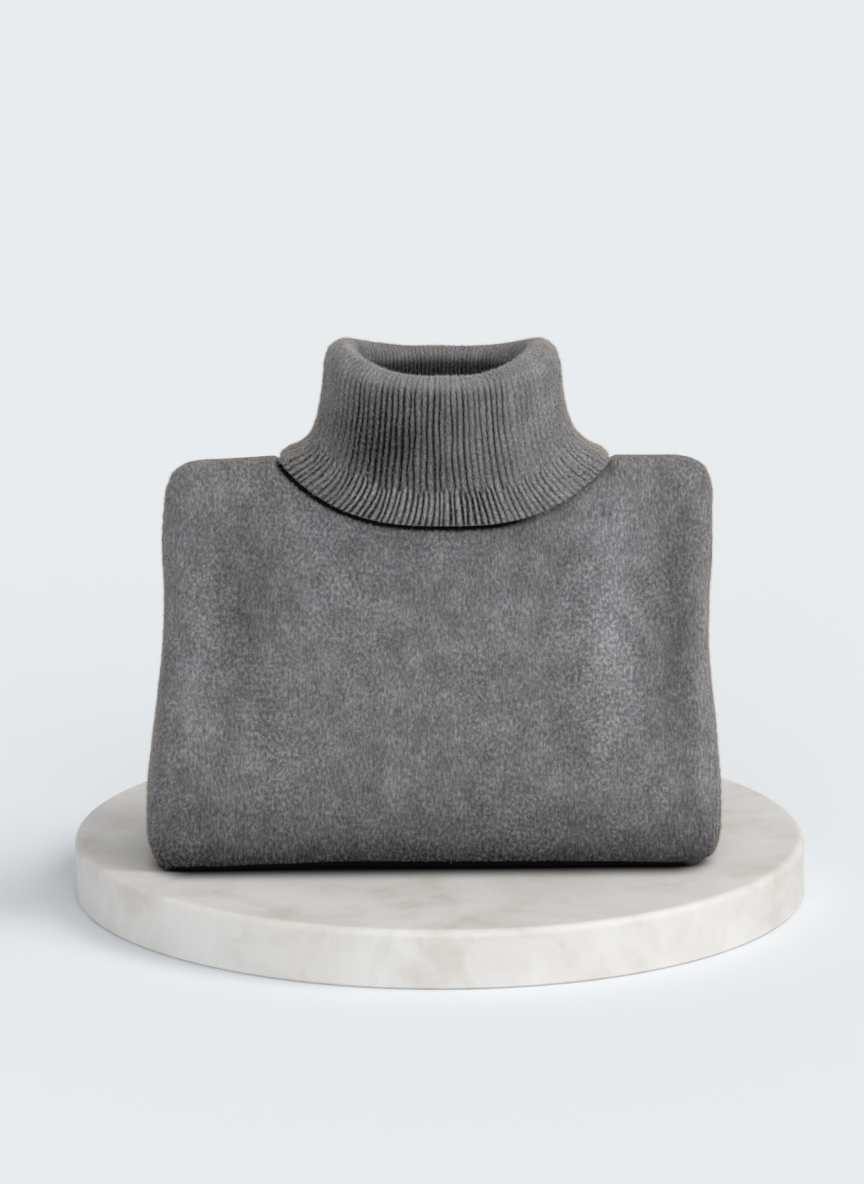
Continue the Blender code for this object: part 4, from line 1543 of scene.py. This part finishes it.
# %% Marble
def marble():
    inputs = {"Roughness": 0.5, "IOR": 1.5, "Specular IOR Level": 0.35}
    material, tree, shader = new_material("honed_warm_white_marble", inputs)
    place_on = add(tree, "ShaderNodeTexCoord", {}).outputs["Object"]
    bend = noise(tree, place_on, 7.0, 4.0).outputs["Color"]
    push = add(tree, "ShaderNodeVectorMath", {0: bend, "Scale": 0.16}, operation="SCALE")
    moved = add(tree, "ShaderNodeVectorMath", {0: place_on, 1: push.outputs[0]}, operation="ADD")
    veins = noise(tree, moved.outputs[0], 16.0, 5.0, 0.6).outputs["Fac"]
    stone = colour_ramp(tree, veins, (0.36, "#CAC4BE"), (0.47, "#D3D0CD"), (0.6, "#D9D7D5"))
    # A painted shadow at the disc's left, mixed towards a mid grey.
    stone = mix_colour(tree, left_painted_shadow(tree, place_on), stone, linear("#A3A19F"))
    stone = mix_colour(tree, contact_shade(tree, place_on), linear("#0A0A0A"), stone)
    fill(tree, shader, {"Base Color": stone})
    return material


MARBLE = marble()
print("stone material", MARBLE.name)


# %% Give each piece its material
def paint(material, *pieces):
    for piece in pieces:
        piece.data.materials.clear()
        piece.data.materials.append(material)


paint(JERSEY, front_panel, back_panel, sleeve_left, sleeve_right, layers)
paint(RIB, collar, hem)
paint(FIBRE, body_nap, collar_nap)
paint(MARBLE, disc)

# %% [markdown]

# %% [markdown]
# ## The studio
#
# A plain pale floor runs out of sight, under an even pale sky that stands for a white studio. One
# wide soft light from the right gives the shadow to the left, and a weaker one fills the front.

# %% Floor, lights and camera
def make_floor():
    bm = bmesh.new()
    bmesh.ops.create_grid(bm, x_segments=1, y_segments=1, size=30.0)
    floor = add_object("floor", to_mesh(bm, "floor"))
    paint(new_material("pale_studio_floor", {"Base Color": linear("#E5E9ED"), **MATT})[0], floor)


# Azimuth 0 is in front of the sweater and 90 is to its right.
SUNS = table(
    "name azimuth elevation strength spread colour",
    ("key", 78.0, 47.0, 0.50, 38.0, "#FFFBF6"),
    ("front_fill", 8.0, 22.0, 0.44, 60.0, "#FFFFFF"),
    ("left_fill", -80.0, 10.0, 0.08, 60.0, "#FFFFFF"),
)
SKY_STRENGTH = 0.505
CAMERA_PLACE = (-0.0053, -4.5, 1.2596)
CAMERA_DOWN = 0.2295
LENS = 206.3


def add_sun(row):
    """A far soft light."""
    light = bpy.data.lights.new(row["name"], "SUN")
    light.energy = row["strength"] * math.pi
    light.angle = math.radians(row["spread"])
    light.color = linear(row["colour"])[:3]
    sun = add_object(row["name"], light)
    sun.rotation_euler = (math.radians(90 - row["elevation"]), 0.0, math.radians(row["azimuth"]))


def make_world():
    world = bpy.data.worlds.new("pale_studio")
    world.use_nodes = True
    sky = {"Color": linear("#FCFEFF"), "Strength": SKY_STRENGTH}
    fill(world.node_tree, world.node_tree.nodes["Background"], sky)
    bpy.context.scene.world = world


def make_camera():
    data = bpy.data.cameras.new("camera")
    data.lens = LENS
    data.sensor_width = 36.0
    data.clip_end = 100.0
    camera = add_object("camera", data)
    camera.location = CAMERA_PLACE
    camera.rotation_euler = (math.pi / 2 - CAMERA_DOWN, 0.0, 0.0)
    bpy.context.scene.camera = camera


make_floor()
make_world()
for row in SUNS:
    add_sun(row)
make_camera()
print("lights", [row["name"] for row in SUNS])
bpy.context.scene.view_settings.view_transform = "Standard"
